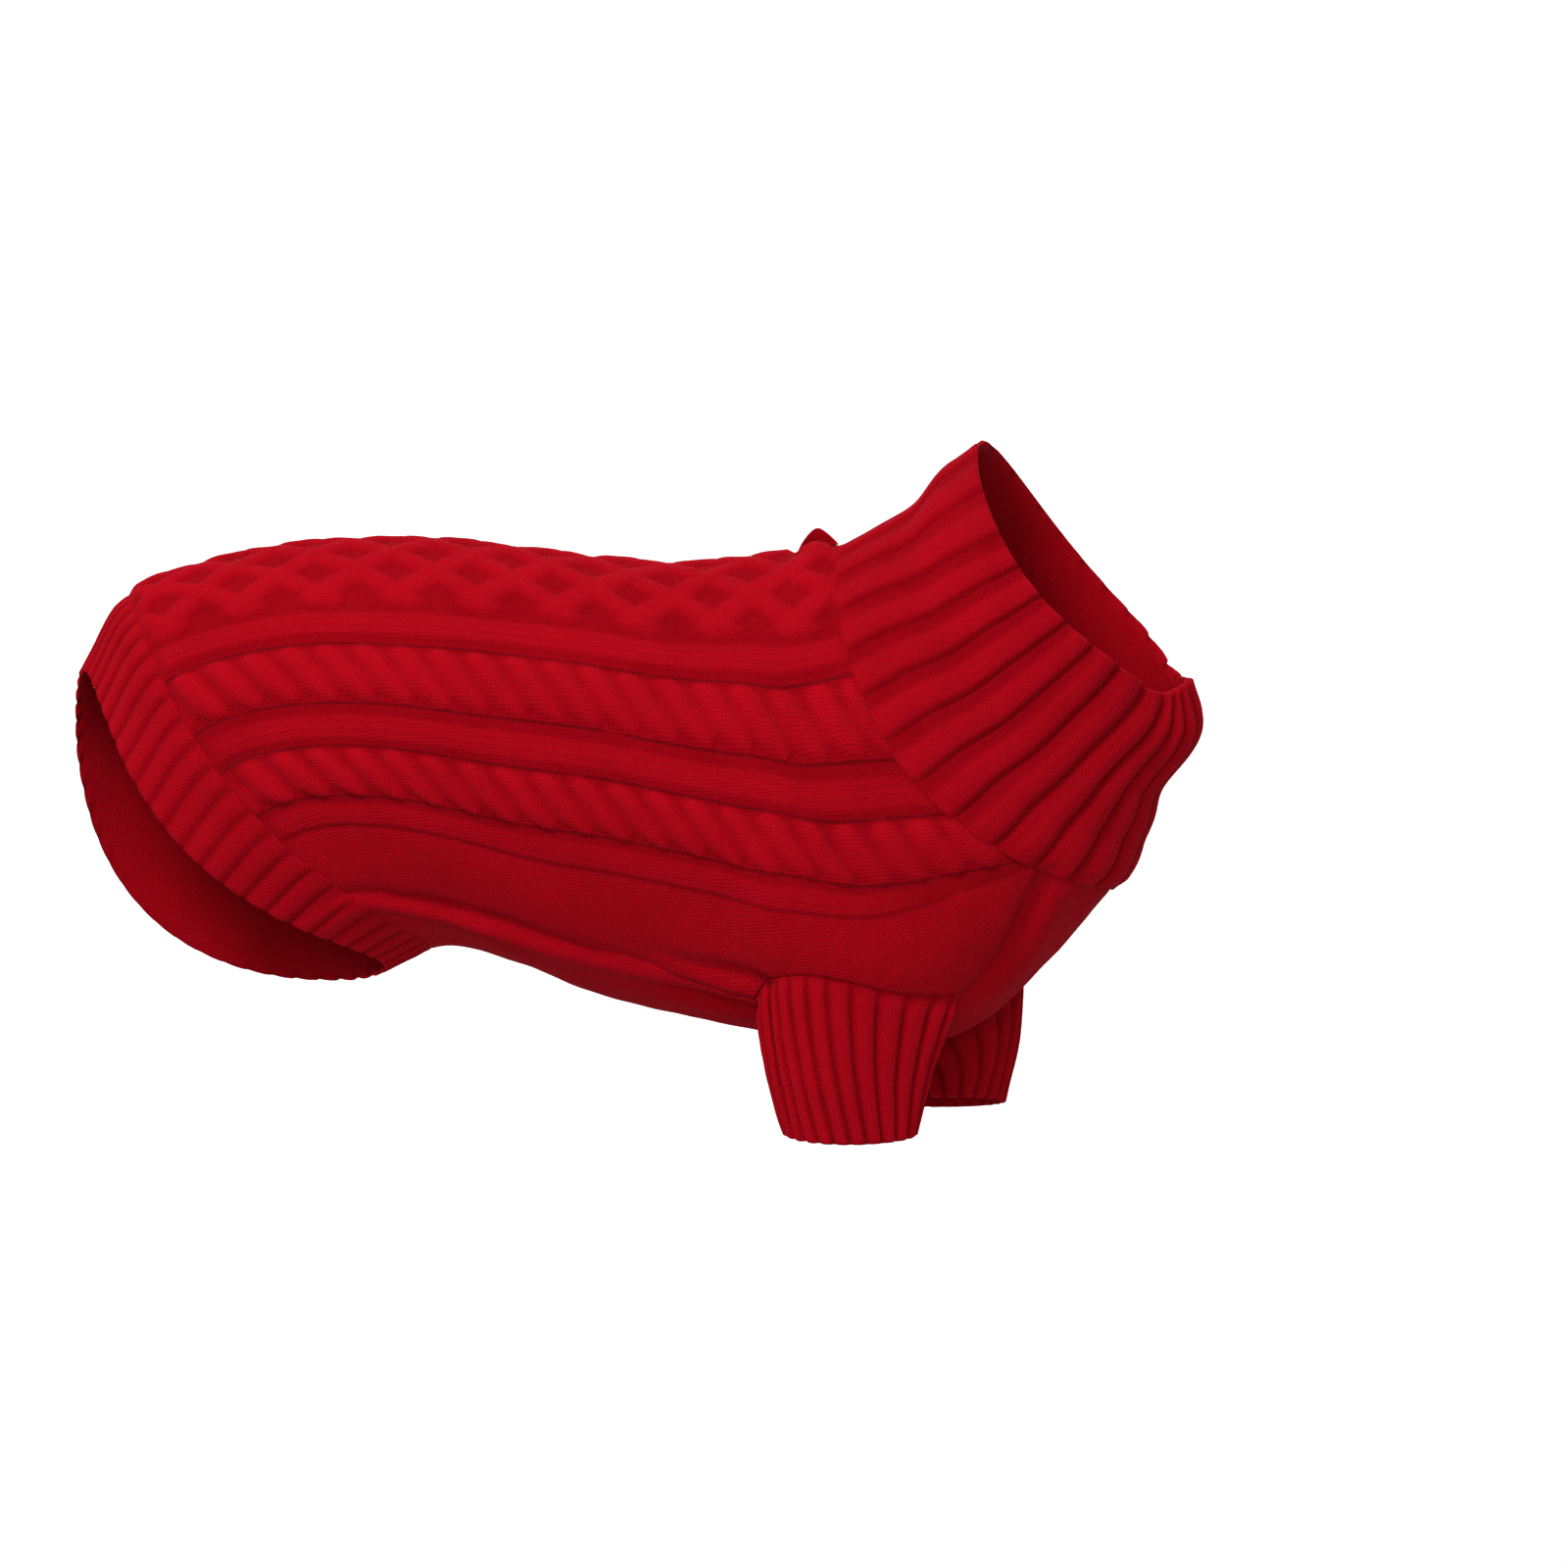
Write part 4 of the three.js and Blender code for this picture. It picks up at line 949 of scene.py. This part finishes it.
def stitch_height(nodes, object_place, raised, seed):
    """Stitch columns on raised cloth, courses of purl bumps in the grooves, and fluff."""
    place = nodes.add("ShaderNodeUVMap", uv_map="knit").outputs[0]
    split = nodes.add("ShaderNodeSeparateXYZ")
    nodes.put(split.inputs[0], place)
    wander = nodes.noise(object_place, WANDER, seed)
    aside = nodes.math("MULTIPLY", wander, STITCHES["wander"])
    stitch = nodes.math("MULTIPLY_ADD", split.outputs[0], 1 / METRE / STITCH, aside)
    along = nodes.math("MULTIPLY", wander, STITCHES["course_wander"])
    course = nodes.math("MULTIPLY_ADD", split.outputs[1], 1 / METRE / COURSE, along)
    inside = nodes.math("SUBTRACT", nodes.math("FRACT", stitch), 0.5)
    lean = nodes.math("ABSOLUTE", inside)
    legs = nodes.wave(nodes.math("MULTIPLY_ADD", lean, STITCHES["lean"], course))
    legs = nodes.math("MULTIPLY", legs, STITCHES["legs"])
    columns = nodes.math("SUBTRACT", 1.0, nodes.wave(stitch))
    knit = nodes.math("MULTIPLY_ADD", columns, STITCHES["columns"], legs)
    between = nodes.math("MULTIPLY", columns, STITCHES["purl_columns"])
    purl = nodes.math("MULTIPLY_ADD", nodes.wave(course), STITCHES["purl"], between)
    flip = nodes.math("SUBTRACT", 1.0, raised)
    knit = nodes.math("MULTIPLY", knit, raised)
    height = nodes.math("ADD", knit, nodes.math("MULTIPLY", purl, flip))
    fluff = nodes.noise(object_place, FLUFF, seed + 1)
    return nodes.math("MULTIPLY_ADD", fluff, STITCHES["fluff"], height)


def yarn_colour(nodes, object_place, tone_and_painted_shade, seed):
    """From the bright to the deep colour, by soft mottling, and by painted shade in hollows,
    grooves, creases and on inner faces with an even tone on plain cloth.
    """
    mottle = nodes.noise(object_place, MOTTLE, seed + 2)
    fine = nodes.noise(object_place, FINE, seed + 3)
    fine = nodes.math("MULTIPLY", fine, DEPTH["fine"])
    depth = nodes.math("MULTIPLY_ADD", mottle, DEPTH["mottle"], fine)
    depth = nodes.math("SUBTRACT", depth, DEPTH["start"])
    # Painted shade: the attribute deepens the colour in hollows, grooves, creases and on inner
    # faces; on plain cloth it is an even tone
    depth = nodes.math("ADD", depth, nodes.math("MULTIPLY", tone_and_painted_shade, DEPTH["tone_and_painted_shade"]))
    depth = nodes.math("MINIMUM", nodes.math("MAXIMUM", depth, 0.0), 1.0)
    return nodes.blend(depth, YARN["bright"], YARN["deep"])


def knit_material(name, seed):
    material = bpy.data.materials.new(name)
    material.use_nodes = True
    material.node_tree.nodes.clear()
    nodes = Nodes(material.node_tree)
    object_place = nodes.add("ShaderNodeTexCoord").outputs["Object"]
    raised = nodes.add("ShaderNodeAttribute", attribute_name="raised").outputs["Fac"]
    # This attribute carries painted shade, and an even tone on plain cloth
    tone_and_painted_shade = nodes.add("ShaderNodeAttribute", attribute_name="tone_and_painted_shade").outputs["Fac"]
    relief = nodes.add("ShaderNodeBump")
    relief.inputs["Strength"].default_value = YARN["relief"]
    relief.inputs["Distance"].default_value = YARN["relief_depth"]
    nodes.put(relief.inputs["Height"], stitch_height(nodes, object_place, raised, seed))
    shader = nodes.add("ShaderNodeBsdfPrincipled")
    nodes.put(shader.inputs["Base Color"], yarn_colour(nodes, object_place, tone_and_painted_shade, seed))
    shader.inputs["Roughness"].default_value = YARN["roughness"]
    shader.inputs["Specular IOR Level"].default_value = YARN["specular"]
    shader.inputs["Sheen Weight"].default_value = YARN["sheen"]
    shader.inputs["Sheen Roughness"].default_value = YARN["sheen_roughness"]
    shader.inputs["Sheen Tint"].default_value = YARN["sheen_tint"]
    nodes.put(shader.inputs["Normal"], relief.outputs[0])
    output = nodes.add("ShaderNodeOutputMaterial")
    nodes.put(output.inputs[0], shader.outputs[0])
    return material


def backdrop_material():
    material = bpy.data.materials.new("pale backdrop")
    material.use_nodes = True
    shader = material.node_tree.nodes["Principled BSDF"]
    shader.inputs["Base Color"].default_value = BACKDROP["colour"]
    shader.inputs["Roughness"].default_value = BACKDROP["roughness"]
    shader.inputs["Emission Color"].default_value = WHITE
    shader.inputs["Emission Strength"].default_value = BACKDROP["glow"]
    return material


# Scene


def add_camera():
    data = bpy.data.cameras.new("camera")
    data.lens = CAMERA_LENS
    data.sensor_width = CAMERA_SENSOR
    camera = bpy.data.objects.new("camera", data)
    camera.location = CAMERA_PLACE
    camera.rotation_euler = (np.pi / 2, 0, 0)
    bpy.context.scene.collection.objects.link(camera)
    bpy.context.scene.camera = camera


def add_stage_piece(name, outline, material):
    """A surface turned round the vertical, from an outline of reaches and rises."""
    sides = BACKDROP["sides"]
    round_it = np.radians(np.linspace(0, 360, sides, endpoint=False))
    points = [
        (reach * np.cos(turn), reach * np.sin(turn), FLOOR_Z + rise)
        for reach, rise in outline for turn in round_it
    ]
    faces = [
        (row * sides + k, row * sides + (k + 1) % sides,
         (row + 1) * sides + (k + 1) % sides, (row + 1) * sides + k)
        for row in range(len(outline) - 1) for k in range(sides)
    ]
    if name == "floor":
        faces.append(tuple(range(sides)))
    mesh = bpy.data.meshes.new(name)
    mesh.from_pydata(points, [], faces)
    mesh.polygons.foreach_set("use_smooth", np.ones(len(faces), bool))
    mesh.materials.append(material)
    piece = bpy.data.objects.new(name, mesh)
    piece.visible_diffuse = False
    piece.visible_shadow = name == "floor"
    bpy.context.scene.collection.objects.link(piece)


def add_backdrop():
    """A round pale floor, and a wall round it that curves up and stops no light."""
    reach, radius = BACKDROP["reach"], BACKDROP["bend"]
    turns = np.radians(np.linspace(0, 90, BACKDROP["bend_steps"] + 1))
    bend = [(reach + radius * np.sin(turn), radius * (1 - np.cos(turn))) for turn in turns]
    material = backdrop_material()
    add_stage_piece("floor", [(BACKDROP["middle"], 0), bend[0]], material)
    add_stage_piece("wall", [*bend, (bend[-1][0], BACKDROP["height"])], material)


def add_light(name, place, size, power):
    data = bpy.data.lights.new(name, "AREA")
    data.shape = "SQUARE"
    data.size = size
    data.energy = power
    light = bpy.data.objects.new(name, data)
    light.location = place
    direction = np.array(LIGHT_TARGET) - np.array(place)
    flat = np.hypot(direction[0], direction[1])
    light.rotation_euler = (
        np.arctan2(flat, -direction[2]), 0, np.arctan2(direction[1], direction[0]) - np.pi / 2,
    )
    bpy.context.scene.collection.objects.link(light)


def add_lights():
    for name, (place, size, power) in LIGHTS.items():
        add_light(name, place, size, power)
    world = bpy.data.worlds.new("studio")
    world.use_nodes = True
    background = world.node_tree.nodes["Background"]
    background.inputs["Color"].default_value = WHITE
    background.inputs["Strength"].default_value = WORLD_LIGHT
    bpy.context.scene.world = world


def dress(piece, node, material):
    piece.data.materials.append(material)
    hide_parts(node)
    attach(piece, "root")


add_camera()

back = back_panel()
dress(back, "back_panel", knit_material("cable yarn", 1.0))

belly = belly_panel()
dress(belly, "belly_panel", knit_material("plain yarn", 2.0))

collar = ribbed_tube(
    "collar_knit", COLLAR_SEAM, RIM, COLLAR_RIBS, COLLAR_WALL, False, collar_profile,
)
dress(collar, "collar", knit_material("collar yarn", 3.0))

hem = ribbed_tube("hem_rib_knit", HEM, BAND_TOP, HEM_RIBS, WALL, True, hem_profile)
dress(hem, "hem_rib", knit_material("hem yarn", 4.0))

for cuff_name in CUFFS:
    sleeve = cuff(cuff_name)
    yarn = knit_material(f"cuff {cuff_name} yarn", 5.0)
    dress(sleeve, f"cuff_{cuff_name}", yarn)

binding = slit_binding()
dress(binding, "leash_slit_binding", knit_material("binding yarn", 6.0))

add_backdrop()
add_lights()
bpy.context.scene.view_settings.view_transform = "Standard"
